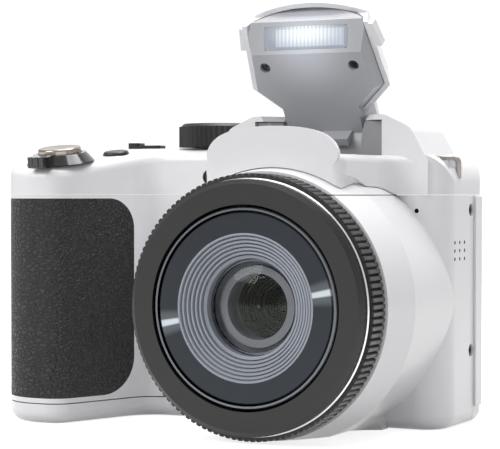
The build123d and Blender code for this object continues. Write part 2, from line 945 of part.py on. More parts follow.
with BuildPart() as top_cover:
    add(left_deck.part)
    add(right_deck.part)
    add(hump.part)
    add(nose.part)
    collar(seam, Mode.SUBTRACT)
    plan_block(seam_height, cavity_low_top, wall, Mode.SUBTRACT)
    block(
        (-cavity_left, -cavity_front, seam_height),
        (cavity_right, cavity_back, cavity_top),
        Mode.SUBTRACT,
    )
    with BuildSketch(Plane.XY.offset(seam_height)):
        with BuildLine():
            Polyline(
                (-well_front_half, -brow_reach + brow_wall),
                (well_front_half, -brow_reach + brow_wall),
                (well_back_half, -front_face),
                (-well_back_half, -front_face),
                close=True,
            )
        make_face()
    extrude(amount=hump_height, mode=Mode.SUBTRACT)
    block((-cheek_outer - seam, -front_face - overrun, seam_height),
          (cheek_outer + seam, cheek_back + seam, cheek_top + seam), Mode.SUBTRACT)
    block((-cheek_inner, -front_face - overrun, seam_height),
          (cheek_inner, cheek_back, hump_height + overrun), Mode.SUBTRACT)
    for x_low, x_high in (
        (lug_right_in + lug_root, lug_right_out - lug_bar_radius),
        (lug_left_out - lug_bar_radius - overrun, lug_left_in - lug_root),
    ):
        block(
            (x_low, lug_y - lug_half_opening, lug_bar_height - lug_bar_radius - lug_gap),
            (x_high, lug_y + lug_half_opening, deck_height + overrun),
            Mode.SUBTRACT,
        )
    lug_rod(lug_right_in, lug_right_out, lug_bar_radius + fit_gap, Mode.SUBTRACT)
    lug_rod(lug_left_in, lug_left_out, lug_bar_radius + fit_gap, Mode.SUBTRACT)
    with BuildSketch(Plane.XY.offset(deck_height)):
        with Locations((dial_x, dial_y)):
            Circle(dial_radius + dial_rib_depth)
    extrude(amount=dial_height + overrun, mode=Mode.SUBTRACT)
    top_keys(button_gap, Mode.SUBTRACT)
    with BuildSketch(Plane.XZ.offset(front_face - lamp_length)):
        with Locations((lamp_x, lamp_height)):
            Circle(lamp_radius + fit_gap)
    extrude(amount=lamp_length + overrun, mode=Mode.SUBTRACT)
    add(swing_room.part, mode=Mode.SUBTRACT)
top_cover.part.label = "top_cover"
export_step(top_cover.part, "parts/top_cover.step")

# Flash well: the grey tray that the head folds into, with the two cheeks that hold its pin
pin_radius = 1.0
pin_half_length = 15.0
tray_bottom = 68.1
cheek_low_front = 12.3
well_back_wall = 0.6

with BuildPart() as flash_well:
    with BuildSketch(Plane.XY.offset(tray_bottom)):
        with BuildLine():
            Polyline(
                (-well_front_half + seam, -brow_reach + brow_wall + seam),
                (well_front_half - seam, -brow_reach + brow_wall + seam),
                (well_back_half - seam, -front_face),
                (-well_back_half + seam, -front_face),
                close=True,
            )
        make_face()
    extrude(amount=well_floor - tray_bottom)
    block((-cheek_outer, -front_face, tray_bottom), (cheek_outer, -cheek_front, well_floor))
    for x_low, x_high in ((-cheek_outer, -cheek_inner), (cheek_inner, cheek_outer)):
        block((x_low, -cheek_front, tray_bottom), (x_high, cheek_back, cheek_top))
        block((x_low, -cheek_low_front, slot_floor - well_wall), (x_high, cheek_back, tray_bottom))
    block((-cheek_outer, -cheek_low_front, slot_floor - well_wall), (cheek_outer, cheek_back, slot_floor))
    block((-cheek_inner, cheek_back - well_back_wall, slot_floor), (cheek_inner, cheek_back, cheek_top))
    with BuildSketch(Plane.YZ.offset(-pin_half_length)):
        with Locations((-hinge_back, hinge_height)):
            Circle(pin_radius)
    extrude(amount=2 * pin_half_length, mode=Mode.SUBTRACT)
    add(swing_room.part, mode=Mode.SUBTRACT)
flash_well.part.label = "flash_well"
export_step(flash_well.part, "parts/flash_well.step")

with BuildPart() as flash_hinge_pin:
    with BuildSketch(Plane.YZ.offset(-pin_half_length)):
        with Locations((-hinge_back, hinge_height)):
            Circle(pin_radius)
    extrude(amount=2 * pin_half_length)
flash_hinge_pin.part.label = "flash_hinge_pin"
export_step(flash_hinge_pin.part, "parts/flash_hinge_pin.step")

# Flash head. Its outlines are given in its own frame: along the head, and up from the hinge
head_under = -3.0
crease_along = 30.6
window_face_length = 8.4
housing_front = 38.2
housing_front_low = 6.3
housing_top = 7.4
housing_inset = 1.5
housing_low_inset = 3.0
neck_length = 7.2
neck_end = 15.0
cover_skin = 1.3
cover_low = 0.4
cover_draw_in = 3.1
cover_edge = 1.2
cover_wrap = 3.0
cover_lip = 5.2
cover_lip_low = 5.4
ear_inner = 17.4
ear_low_half = 19.9
ear_high_half = 18.7
ear_low_along = 30.2
ear_high_along = 36.6
ear_thickness = 2.6
hook_low_x = -1.0
hook_high_x = 7.5
hook_along = 5.2
hook_reach = 7.1
hook_thickness = 2.0
tube_window_width = 23.4
tube_window_height = 6.0
tube_window_thickness = 1.2
tube_window_ribs = 22
tube_window_rib_depth = 0.25
tube_window_centre = 100.2
flash_screw_half_spacing = 12.4
flash_screw_along = 26.7
flash_screw_radius = 1.4
flash_screw_depth = 1.0
flash_screw_places = (
    (-flash_screw_half_spacing, flash_screw_along),
    (flash_screw_half_spacing, flash_screw_along),
)
reflector_depth = 4.6
reflector_wall = 0.3
reflector_half_height = 2.7
xenon_radius = 1.1
xenon_half_length = 11.0
window_high_along = crease_along + window_face_length * fold_sin
window_high_up = head_under + window_face_length * fold_cos
window_plane_y = -hinge_back - crease_along * fold_cos + head_under * fold_sin
window_plane = Plane(origin=(0, window_plane_y, tube_window_centre), x_dir=(1, 0, 0), z_dir=(0, -1, 0))


def head_section(level, inset):
    """The head's outline at one height over its hinge, drawn in all round by an inset."""
    sides = [
        (neck_half_width, 0),
        (neck_half_width, head_neck_along),
        (head_half_width, head_shoulder_along),
        (head_crown_half, head_crown_along),
    ]
    mirrored = [(-x, along) for x, along in reversed(sides)]
    with BuildSketch(head_plan.offset(level)) as section:
        with BuildLine():
            Polyline(*mirrored, *sides)
            ThreePointArc(sides[-1], (0, head_length), mirrored[0])
        make_face()
        if inset > 0:
            offset(amount=-inset, kind=Kind.INTERSECTION)
    return section.sketch


def head_draw_in(level):
    """How far the cover's outside has drawn in at a height over its hinge."""
    return cover_draw_in * (level - cover_low) / (head_top - cover_low)


with BuildPart() as flash_housing:
    loft([head_section(head_under, housing_low_inset), head_section(cover_low, housing_inset)], ruled=True)
    loft(
        [
            head_section(cover_low, housing_inset),
            head_section(housing_top, housing_inset + head_draw_in(housing_top)),
        ],
        ruled=True,
    )
    with BuildSketch(head_plan.offset(-head_top)):
        with Locations((0, (neck_end - neck_length) / 2)):
            Rectangle(2 * neck_half_width, neck_end + neck_length)
    extrude(amount=2 * head_top)
    with BuildSketch(head_side.offset(-head_half_width)):
        with BuildLine():
            Polyline(
                (0, head_under),
                (crease_along, head_under),
                (window_high_along, window_high_up),
                (housing_front, housing_front_low),
                (housing_front, housing_top),
                (0, housing_top),
                close=True,
            )
        make_face()
        Circle(neck_length)
    extrude(amount=2 * head_half_width, mode=Mode.INTERSECT)
    with BuildSketch(head_side.offset(-hook_high_x)):
        with BuildLine():
            Polyline(
                (hook_along, 0),
                (hook_along, -hook_reach),
                (hook_along + hook_thickness, -hook_reach),
                (hook_along + hook_thickness, 0),
                close=True,
            )
        make_face()
    extrude(amount=hook_high_x - hook_low_x)
    with BuildSketch(window_plane.offset(overrun)):
        RectangleRounded(
            tube_window_width + 2 * fit_gap, tube_window_height + 2 * fit_gap, tube_window_thickness
        )
    extrude(amount=-overrun - tube_window_thickness - seam, mode=Mode.SUBTRACT)
    with BuildSketch(window_plane):
        Rectangle(
            2 * (xenon_half_length + reflector_wall + seam),
            2 * (reflector_half_height + reflector_wall),
        )
    extrude(amount=-tube_window_thickness - reflector_depth - reflector_wall - seam, mode=Mode.SUBTRACT)
    with BuildSketch(head_plan.offset(head_under)):
        with Locations(*flash_screw_places):
            Circle(flash_screw_radius + fit_gap)
    extrude(amount=3 * flash_screw_depth, mode=Mode.SUBTRACT)
    with BuildSketch(head_side.offset(-head_half_width)):
        Circle(pin_radius + fit_gap)
    extrude(amount=2 * head_half_width, mode=Mode.SUBTRACT)
flash_housing.part.label = "flash_housing"
export_step(flash_housing.part, "parts/flash_housing.step")

with BuildPart() as flash_cover:
    loft([head_section(cover_low, 0), head_section(head_top, cover_draw_in)], ruled=True)
    top_rim = flash_cover.edges().filter_by(
        lambda edge: head_plan.to_local_coords(edge.center()).Z > head_top - seam
        and head_plan.to_local_coords(edge.center()).Y > head_neck_along
    )
    fillet(top_rim, cover_edge)
    with BuildSketch(head_plan.offset(cover_low)):
        for side in (-1, 1):
            with BuildLine():
                Polyline(
                    (side * ear_inner, ear_low_along),
                    (side * ear_low_half, ear_low_along),
                    (side * ear_high_half, ear_high_along),
                    (side * ear_inner, ear_high_along),
                    close=True,
                )
            make_face()
    extrude(amount=ear_thickness)
    loft(
        [
            head_section(cover_low, cover_skin),
            head_section(head_top - cover_skin, cover_skin + head_draw_in(head_top - cover_skin)),
        ],
        ruled=True,
        mode=Mode.SUBTRACT,
    )
    with BuildSketch(head_plan.offset(housing_top)):
        with Locations((0, neck_end / 2)):
            Rectangle(2 * neck_half_width, neck_end)
    extrude(amount=head_top - housing_top)
    with BuildSketch(head_side.offset(-head_half_width)):
        with Locations((0, housing_top - head_top)):
            Rectangle(2 * head_neck_along, 2 * head_top)
    extrude(amount=2 * head_half_width, mode=Mode.SUBTRACT)
    with BuildSketch(head_side.offset(-neck_half_width)):
        Circle(head_top)
        Circle(neck_length + seam, mode=Mode.SUBTRACT)
        with Locations((head_top, 0)):
            Rectangle(2 * head_top, 2 * head_top, mode=Mode.SUBTRACT)
        with Locations((0, cover_wrap - head_top)):
            Rectangle(2 * head_top, 2 * head_top, mode=Mode.SUBTRACT)
    extrude(amount=2 * neck_half_width)
    with BuildSketch(head_side.offset(-head_half_width)):
        with Locations((head_length, 0)):
            Rectangle(2 * cover_lip, 2 * cover_lip_low)
    extrude(amount=2 * head_half_width, mode=Mode.SUBTRACT)
    add(flash_housing.part, mode=Mode.SUBTRACT)
flash_cover.part.label = "flash_cover"
export_step(flash_cover.part, "parts/flash_cover.step")

with BuildPart() as flash_window:
    with BuildSketch(window_plane):
        RectangleRounded(tube_window_width, tube_window_height, tube_window_thickness)
    extrude(amount=-tube_window_thickness)
    with BuildSketch(window_plane.offset(-tube_window_thickness)):
        with GridLocations(tube_window_width / (tube_window_ribs + 1), 0, tube_window_ribs, 1):
            Rectangle(tube_window_rib_depth, tube_window_height - 2 * tube_window_thickness)
    extrude(amount=tube_window_rib_depth, mode=Mode.SUBTRACT)
flash_window.part.label = "flash_window"
export_step(flash_window.part, "parts/flash_window.step")

with BuildPart() as flash_reflector:
    with BuildSketch(Plane.YZ.offset(-xenon_half_length - reflector_wall)):
        with Locations((window_plane_y + tube_window_thickness + seam, tube_window_centre)):
            Ellipse(reflector_depth + reflector_wall, reflector_half_height + reflector_wall - fit_gap)
            Ellipse(reflector_depth, reflector_half_height, mode=Mode.SUBTRACT)
            with Locations((-reflector_depth - reflector_wall, 0)):
                Rectangle(
                    2 * (reflector_depth + reflector_wall), 4 * reflector_half_height, mode=Mode.SUBTRACT
                )
    extrude(amount=2 * (xenon_half_length + reflector_wall))
flash_reflector.part.label = "flash_reflector"
export_step(flash_reflector.part, "parts/flash_reflector.step")

xenon_y = window_plane_y + tube_window_thickness + reflector_depth - xenon_radius

with BuildPart() as flash_tube:
    with BuildSketch(Plane.YZ.offset(-xenon_half_length)):
        with Locations((xenon_y, tube_window_centre)):
            Circle(xenon_radius - fit_gap)
    extrude(amount=2 * xenon_half_length)
flash_tube.part.label = "flash_tube"
export_step(flash_tube.part, "parts/flash_tube.step")

with BuildPart() as flash_screws:
    with BuildSketch(head_plan.offset(head_under + flash_screw_depth)):
        with Locations(*flash_screw_places):
            Circle(flash_screw_radius)
    extrude(amount=flash_screw_depth)
    with BuildSketch(head_plan.offset(head_under + flash_screw_depth)):
        with Locations(*flash_screw_places):
            Rectangle(flash_screw_radius, flash_screw_radius / 4)
            Rectangle(flash_screw_radius / 4, flash_screw_radius)
    extrude(amount=flash_screw_depth / 2, mode=Mode.SUBTRACT)
flash_screws.part.label = "flash_screws"
export_step(flash_screws.part, "parts/flash_screws.step")

# Lens, from the front ring back to the sensor
ring_bevel = 1.1
ring_bevel_depth = 0.9
ring_face_thickness = 2.0
ring_sleeve_outer = 30.2
ring_sleeve_inner = 28.95
ring_sleeve_end = 10.2
knurl_start = 3.2
knurl_end = 10.3
knurl_root = 31.7
knurl_ridge_share = 0.5
knurl_inner = 30.25
knurl_teeth = 120
housing_start = 2.1
housing_outer = 28.8
housing_inner = 27.8
cam_outer = 27.5
cam_inner = 24.8
cam_start = 8.0
cam_end = 43.5
cam_band = 4.0
cam_teeth = 110
barrel_wall = 0.85
barrel_start = 0.2
barrel_end = 38.0
barrel_lip = 0.35
barrel_flange = 1.6
inner_barrel_start = 0.5
inner_barrel_end = 31.0
inner_barrel_wall = 0.9
front_flat_inner = 18.1
front_flat_thickness = 2.0
baffle_inner = 12.6
baffle_depth = 3.1
baffle_steps = 6
baffle_back = 9.0
well_radius = 11.9
bezel_outer = 10.0
bezel_inner = 8.1
bezel_front = 7.7
bezel_thickness = 2.4
glass_bulge = 1.1
glass_front_gap = 0.5
glass_back = 14.0
middle_radius = 9.0
middle_front = 32.5
middle_back = 39.5
flange_hole = 11.3
carrier_thickness = 1.2
boss_x = 12.0
boss_z = 15.0
boss_radius = 1.6
focus_disc = 27.5
focus_start = 45.0
focus_thickness = 1.2
focus_lens_radius = 7.0
focus_lens_front = 44.2
focus_lens_back = 47.0
rear_wall_start = 48.4
rear_wall_hole = 9.0
sensor_width = 11.0
sensor_tall = 9.0
sensor_front = 49.4
board_start = 50.8
board_thickness = 1.0
board_half_width = 15.0
board_half_height = 18.0

with BuildPart() as front_ring:
    turned(
        [
            (0, ring_bore),
            (0, ring_radius - ring_bevel),
            (ring_bevel_depth, ring_radius),
            (knurl_start - fit_gap, ring_radius),
            (knurl_start - fit_gap, ring_sleeve_outer),
            (ring_sleeve_end, ring_sleeve_outer),
            (ring_sleeve_end, ring_sleeve_inner),
            (ring_face_thickness, ring_sleeve_inner),
            (ring_face_thickness, ring_bore),
        ]
    )
front_ring.part.label = "front_ring"
export_step(front_ring.part, "parts/front_ring.step")

with BuildPart() as knurled_ring:
    with BuildSketch(lens_face.offset(knurl_start)):
        with BuildLine():
            Polyline(*ridged_outline(knurl_root, knurl_radius, knurl_teeth, knurl_ridge_share), close=True)
        make_face()
        Circle(knurl_inner, mode=Mode.SUBTRACT)
    extrude(amount=knurl_end - knurl_start)
knurled_ring.part.label = "knurled_ring"
export_step(knurled_ring.part, "parts/knurled_ring.step")

with BuildPart() as lens_housing:
    sleeve(housing_start, lens_depth - housing_wall + fit_gap, housing_outer, housing_inner)
    sleeve(rear_wall_start, lens_depth - housing_wall + fit_gap, housing_inner, rear_wall_hole)
    with BuildSketch(lens_face.offset(rear_wall_start)):
        with GridLocations(2 * boss_x, 2 * boss_z, 2, 2):
            Circle(boss_radius)
    extrude(amount=board_start - seam - rear_wall_start)
lens_housing.part.label = "lens_housing"
export_step(lens_housing.part, "parts/lens_housing.step")

with BuildPart() as zoom_cam_ring:
    sleeve(cam_start, cam_end - cam_band, cam_outer - barrel_wall, cam_inner)
    with BuildSketch(lens_face.offset(cam_end - cam_band)):
        with BuildLine():
            Polyline(*ribbed_outline(cam_outer - barrel_wall, cam_outer, cam_teeth), close=True)
        make_face()
        Circle(cam_inner, mode=Mode.SUBTRACT)
    extrude(amount=cam_band)
zoom_cam_ring.part.label = "zoom_cam_ring"
export_step(zoom_cam_ring.part, "parts/zoom_cam_ring.step")

with BuildPart() as outer_barrel:
    turned(
        [
            (barrel_start, barrel_radius - barrel_wall),
            (barrel_start, barrel_radius - barrel_lip),
            (barrel_start + barrel_lip, barrel_radius),
            (barrel_end, barrel_radius),
            (barrel_end, flange_hole),
            (barrel_end - barrel_flange, flange_hole),
            (barrel_end - barrel_flange, barrel_radius - barrel_wall),
        ]
    )
outer_barrel.part.label = "outer_barrel"
export_step(outer_barrel.part, "parts/outer_barrel.step")

with BuildPart() as inner_barrel:
    turned(
        [
            (inner_barrel_start, front_flat_inner),
            (inner_barrel_start, inner_barrel_radius - barrel_lip),
            (inner_barrel_start + barrel_lip, inner_barrel_radius),
            (inner_barrel_end, inner_barrel_radius),
            (inner_barrel_end, inner_barrel_radius - inner_barrel_wall),
            (inner_barrel_start + front_flat_thickness, inner_barrel_radius - inner_barrel_wall),
            (inner_barrel_start + front_flat_thickness, front_flat_inner),
        ]
    )
inner_barrel.part.label = "inner_barrel"
export_step(inner_barrel.part, "parts/inner_barrel.step")

# The baffle steps in and back from the flat ring to the bezel, six ridges one behind another
with BuildPart() as ridged_baffle:
    baffle_outer = front_flat_inner - fit_gap
    step_in = (baffle_outer - baffle_inner) / baffle_steps
    step_back = baffle_depth / baffle_steps
    baffle_points = [(baffle_back, inner_barrel_radius - inner_barrel_wall - fit_gap)]
    baffle_points.append((inner_barrel_start + front_flat_thickness + fit_gap, baffle_points[0][1]))
    baffle_points.append((inner_barrel_start + front_flat_thickness + fit_gap, baffle_outer))
    for index in range(baffle_steps):
        ridge_depth = inner_barrel_start + index * step_back
        ridge_radius = baffle_outer - index * step_in
        baffle_points.append((ridge_depth, ridge_radius))
        baffle_points.append((ridge_depth, ridge_radius - step_in / 2))
        baffle_points.append((ridge_depth + 2 * step_back, ridge_radius - step_in * 3 / 4))
    baffle_points.append((inner_barrel_start + baffle_depth, baffle_inner))
    baffle_points.append((inner_barrel_start + baffle_depth + step_back, well_radius))
    baffle_points.append((baffle_back, well_radius))
    turned(baffle_points)
ridged_baffle.part.label = "ridged_baffle"
export_step(ridged_baffle.part, "parts/ridged_baffle.step")

with BuildPart() as bezel_ring:
    turned(
        [
            (bezel_front, bezel_inner),
            (bezel_front, bezel_outer),
            (baffle_back, bezel_outer),
            (baffle_back, inner_barrel_radius - inner_barrel_wall - fit_gap),
            (bezel_front + bezel_thickness, inner_barrel_radius - inner_barrel_wall - fit_gap),
            (bezel_front + bezel_thickness, bezel_outer),
            (glass_back, bezel_outer),
            (glass_back, bezel_inner),
        ]
    )
bezel_ring.part.label = "bezel_ring"
export_step(bezel_ring.part, "parts/bezel_ring.step")

with BuildPart() as front_glass:
    with BuildSketch(lens_side):
        with BuildLine():
            rim = bezel_inner - fit_gap
            glass_curve = (rim * rim + glass_bulge * glass_bulge) / (2 * glass_bulge)
            front_edge = bezel_front + glass_front_gap + glass_bulge
            Line((glass_back, 0), (glass_back, rim))
            Line((glass_back, rim), (front_edge, rim))
            crown = RadiusArc((front_edge, rim), (front_edge - glass_bulge, 0), -glass_curve)
            Line(crown @ 1, (glass_back, 0))
        make_face()
    revolve(axis=lens_line)
front_glass.part.label = "front_glass"
export_step(front_glass.part, "parts/front_glass.step")

with BuildPart() as middle_lens:
    carrier_face = barrel_end - barrel_flange
    sleeve(middle_front, middle_back, middle_radius, 0)
    sleeve(carrier_face - carrier_thickness, carrier_face - fit_gap, barrel_radius - barrel_wall - seam, 0)
    sleeve(carrier_face - fit_gap, barrel_end, flange_hole - fit_gap, 0)
middle_lens.part.label = "middle_lens"
export_step(middle_lens.part, "parts/middle_lens.step")

with BuildPart() as focus_lens:
    sleeve(focus_start, focus_start + focus_thickness, focus_disc, 0)
    sleeve(focus_lens_front, focus_lens_back, focus_lens_radius, 0)
focus_lens.part.label = "focus_lens"
export_step(focus_lens.part, "parts/focus_lens.step")

with BuildPart() as image_sensor:
    block(
        (-sensor_width / 2, sensor_front - ring_reach, axis_height - sensor_tall / 2),
        (sensor_width / 2, board_start - ring_reach, axis_height + sensor_tall / 2),
    )
    block(
        (-board_half_width, board_start - ring_reach, axis_height - board_half_height),
        (board_half_width, board_start + board_thickness - ring_reach, axis_height + board_half_height),
    )
image_sensor.part.label = "image_sensor"
export_step(image_sensor.part, "parts/image_sensor.step")

# Zoom motor with its gearbox, beside the lens housing
motor_x = -40.0
motor_back = 9.1
motor_radius = 2.9
motor_low = 12.0
motor_high = 30.0
gearbox_front = 12.2
gearbox_rear = 9.3
gearbox_low = 14.0
gearbox_high = 28.0

with BuildPart() as zoom_motor:
    with BuildSketch(Plane.XY.offset(motor_low)):
        with Locations((motor_x, -motor_back)):
            Circle(motor_radius)
    extrude(amount=motor_high - motor_low)
    block((motor_x, -gearbox_front, gearbox_low), (0, -gearbox_rear, gearbox_high))
    sleeve(0, lens_depth, housing_outer + seam, 0, Mode.SUBTRACT)
zoom_motor.part.label = "zoom_motor"
export_step(zoom_motor.part, "parts/zoom_motor.step")

# Metal chassis, boards and small parts inside the casing
chassis_left = -46.0
chassis_right = 28.4
chassis_front = 5.9
chassis_thickness = 1.0
chassis_low = 10.0
chassis_high = 57.0
foot_half_width = 5.0
foot_front = 11.6
foot_gap = 0.05
main_board_left = -45.0
main_board_front = 2.4
main_board_thickness = 1.2
main_board_low = 11.0
main_board_high = 56.0
post_radius = 1.6
post_left = -42.0
post_right = 25.0
post_low = 14.0
post_high = 53.0
chip_height = 1.2
chip_size = 13.0
chip_small = 8.0
chip_x = -12.0
chip_z = 36.0
chip_pitch = 17.0

with BuildPart() as chassis:
    block(
        (chassis_left, -chassis_front, chassis_low),
        (chassis_right, -chassis_front + chassis_thickness, chassis_high),
    )
    for foot_x in (-base_screw_x, base_screw_x):
        block(
            (foot_x - foot_half_width, -chassis_front, wall + foot_gap),
            (foot_x + foot_half_width, -chassis_front + chassis_thickness, chassis_low),
        )
        block(
            (foot_x - foot_half_width, -foot_front, wall + foot_gap),
            (foot_x + foot_half_width, -chassis_front, wall + foot_gap + chassis_thickness),
        )
    with BuildSketch(Plane.XZ.offset(main_board_front + fit_gap)):
        with Locations(
            (post_left, post_low), (post_left, post_high), (post_right, post_low), (post_right, post_high)
        ):
            Circle(post_radius)
    extrude(amount=chassis_front - main_board_front - chassis_thickness / 2)
    with BuildSketch(Plane.XY):
        with Locations((-base_screw_x, -base_screw_back), (base_screw_x, -base_screw_back)):
            Circle(screw_shank + fit_gap)
    extrude(amount=2 * overrun, mode=Mode.SUBTRACT)
chassis.part.label = "chassis"
export_step(chassis.part, "parts/chassis.step")

with BuildPart() as main_board:
    block(
        (main_board_left, -main_board_front, main_board_low),
        (chassis_right, -main_board_front + main_board_thickness, main_board_high),
    )
    with BuildSketch(Plane.XZ.offset(main_board_front - main_board_thickness)):
        with Locations((chip_x, chip_z)):
            Rectangle(chip_size, chip_size)
        with Locations((chip_x + chip_pitch, chip_z), (chip_x + chip_pitch, chip_z - chip_pitch)):
            Rectangle(chip_small, chip_size)
        with Locations((chip_x - chip_pitch, chip_z), (chip_x - chip_pitch, chip_z - chip_pitch)):
            Rectangle(chip_small, chip_small)
    extrude(amount=-chip_height)
main_board.part.label = "main_board"
export_step(main_board.part, "parts/main_board.step")

with BuildPart() as lcd_module:
    block(
        (
            window_centre_x - screen_width / 2,
            rear_face - window_thickness + window_proud - fit_gap - screen_thickness,
            window_centre_z - screen_height / 2,
        ),
        (
            window_centre_x + screen_width / 2,
            rear_face - window_thickness + window_proud - fit_gap,
            window_centre_z + screen_height / 2,
        ),
    )
lcd_module.part.label = "lcd_module"
export_step(lcd_module.part, "parts/lcd_module.step")

with BuildPart() as lcd_window:
    with BuildSketch(Plane.XZ.offset(-rear_face - window_proud)):
        with Locations((window_centre_x, window_centre_z)):
            RectangleRounded(window_width, window_height, window_corner)
    extrude(amount=window_thickness)
lcd_window.part.label = "lcd_window"
export_step(lcd_window.part, "parts/lcd_window.step")

button_board_left = -77.0
button_board_right = -38.5
button_board_low = 8.0
button_board_high = 57.0
button_board_rear = 10.6
button_board_thickness = 1.0
spacer_radius = 1.5
spacer_inset = 3.0

with BuildPart() as button_board:
    block(
        (button_board_left, button_board_rear - button_board_thickness, button_board_low),
        (button_board_right, button_board_rear, button_board_high),
    )
    with BuildSketch(Plane.XZ.offset(-rear_face + wall + fit_gap)):
        with Locations(
            (button_board_left + spacer_inset, button_board_low + spacer_inset),
            (button_board_left + spacer_inset, button_board_high - spacer_inset),
            (button_board_right - spacer_inset, button_board_low + 2 * spacer_inset + button_radius * 3),
        ):
            Circle(spacer_radius)
    extrude(amount=rear_face - wall - fit_gap - button_board_rear + button_board_thickness / 2)
button_board.part.label = "button_board"
export_step(button_board.part, "parts/button_board.step")

speaker_radius = 4.2
speaker_thickness = 3.0
speaker_gap = 0.9

with BuildPart() as speaker:
    with BuildSketch(Plane.YZ.offset(body_right - wall - speaker_gap)):
        with Locations((-speaker_back, speaker_height)):
            Circle(speaker_radius)
    extrude(amount=-speaker_thickness)
speaker.part.label = "speaker"
export_step(speaker.part, "parts/speaker.step")

mic_radius = 1.2
mic_length = 3.0

with BuildPart() as microphone:
    with BuildSketch(Plane.XZ.offset(front_face - wall - running_gap)):
        with Locations((mic_x, mic_height)):
            Circle(mic_radius)
    extrude(amount=-mic_length)
microphone.part.label = "microphone"
export_step(microphone.part, "parts/microphone.step")

lamp_dish = 0.35
lamp_rim = 0.35

with BuildPart() as focus_lamp:
    with BuildSketch(Plane.XZ.offset(front_face - lamp_length + fit_gap)):
        with Locations((lamp_x, lamp_height)):
            Circle(lamp_radius)
    extrude(amount=lamp_length)
    with BuildSketch(Plane.XZ.offset(front_face + fit_gap)):
        with Locations((lamp_x, lamp_height)):
            Circle(lamp_radius - lamp_rim)
    extrude(amount=-lamp_dish, mode=Mode.SUBTRACT)
focus_lamp.part.label = "focus_lamp"
export_step(focus_lamp.part, "parts/focus_lamp.step")

capacitor_x = -54.0
capacitor_y = -4.0
capacitor_radius = 5.0
capacitor_low = 5.6
capacitor_high = 38.0

with BuildPart() as flash_capacitor:
    with BuildSketch(Plane.XY.offset(capacitor_low)):
        with Locations((capacitor_x, capacitor_y)):
            Circle(capacitor_radius)
    extrude(amount=capacitor_high - capacitor_low)
flash_capacitor.part.label = "flash_capacitor"
export_step(flash_capacitor.part, "parts/flash_capacitor.step")

with BuildPart() as tripod_socket:
    with BuildSketch():
        Circle(socket_radius)
    extrude(amount=socket_length)
    with BuildSketch(Plane.XY.offset(wall + fit_gap)):
        Circle(socket_flange)
    extrude(amount=socket_flange_height)
    with BuildSketch():
        Circle(socket_thread)
    extrude(amount=socket_length, mode=Mode.SUBTRACT)
tripod_socket.part.label = "tripod_socket"
export_step(tripod_socket.part, "parts/tripod_socket.step")

slot_depth = 0.5
slot_width = 0.5

with BuildPart() as case_screws:
    for screw_plane, places in (
        (
            Plane.YZ.offset(body_right - screw_sink),
            ((side_screw_back, side_screw_low), (side_screw_back, side_screw_high)),
        ),
        (
            Plane(origin=(0, 0, screw_sink), x_dir=(1, 0, 0), z_dir=(0, 0, -1)),
            ((-base_screw_x, base_screw_back), (base_screw_x, base_screw_back)),
        ),
    ):
        with BuildSketch(screw_plane) as heads:
            with Locations(*places):
                Circle(screw_head)
        extrude(heads.sketch, amount=-screw_head_depth + screw_sink + fit_gap)
        with BuildSketch(screw_plane) as shanks:
            with Locations(*places):
                Circle(screw_shank)
        extrude(shanks.sketch, amount=-screw_length + screw_shank + screw_sink)
        with BuildSketch(screw_plane) as slots:
            with Locations(*places):
                Rectangle(2 * screw_shank, slot_width)
                Rectangle(slot_width, 2 * screw_shank)
        extrude(slots.sketch, amount=-slot_depth, mode=Mode.SUBTRACT)
case_screws.part.label = "case_screws"
export_step(case_screws.part, "parts/case_screws.step")

with BuildPart() as strap_lug_right:
    lug_rod(lug_right_in, lug_right_out, lug_bar_radius)
strap_lug_right.part.label = "strap_lug_right"
export_step(strap_lug_right.part, "parts/strap_lug_right.step")

with BuildPart() as strap_lug_left:
    lug_rod(lug_left_in, lug_left_out, lug_bar_radius)
strap_lug_left.part.label = "strap_lug_left"
export_step(strap_lug_left.part, "parts/strap_lug_left.step")

# Zoom lever round the shutter button
lever_floor = 1.0
shutter_low = 2.6
shutter_edge = 0.6
stem_bottom = 2.6
stem_gap = 0.1
lever_line = Axis(deck_plane(lever_x, lever_y, 0).origin, deck_plane(lever_x, lever_y, 0).z_dir)

with BuildPart() as zoom_lever:
    with BuildSketch(deck_plane(lever_x, lever_y, lever_gap)):
        Circle(lever_low_radius)
    with BuildSketch(deck_plane(lever_x, lever_y, lever_gap + lever_height)):
        Circle(lever_top_radius)
    loft()
    with BuildSketch(deck_plane(lever_x, lever_y, lever_gap)):
        with BuildLine():
            Polyline(
                (0, 0),
                *[
                    (
                        radius * sin(radians(lever_tab_angle * (step / lever_rib_steps - 1 / 2))),
                        -radius * cos(radians(lever_tab_angle * (step / lever_rib_steps - 1 / 2))),
                    )
                    for step in range(lever_rib_steps + 1)
                    for radius in ((lever_tab_root if step % 2 == 0 else lever_tab_radius),)
                ],
                close=True,
            )
        make_face()
    extrude(amount=lever_tab_height)
    with BuildSketch(deck_plane(lever_x, lever_y, lever_gap + lever_floor)):
        Circle(lever_bore)
    extrude(amount=lever_height + overrun, mode=Mode.SUBTRACT)
    with BuildSketch(deck_plane(lever_x, lever_y, -lever_hub_length)):
        Circle(lever_hub_radius)
    extrude(amount=lever_hub_length + lever_gap + lever_floor / 2)
    with BuildSketch(deck_plane(lever_x, lever_y, -lever_hub_length)):
        Circle(shutter_stem + stem_gap)
    extrude(amount=2 * lever_hub_length + lever_gap + lever_floor, mode=Mode.SUBTRACT)
zoom_lever.part.label = "zoom_lever"
export_step(zoom_lever.part, "parts/zoom_lever.step")

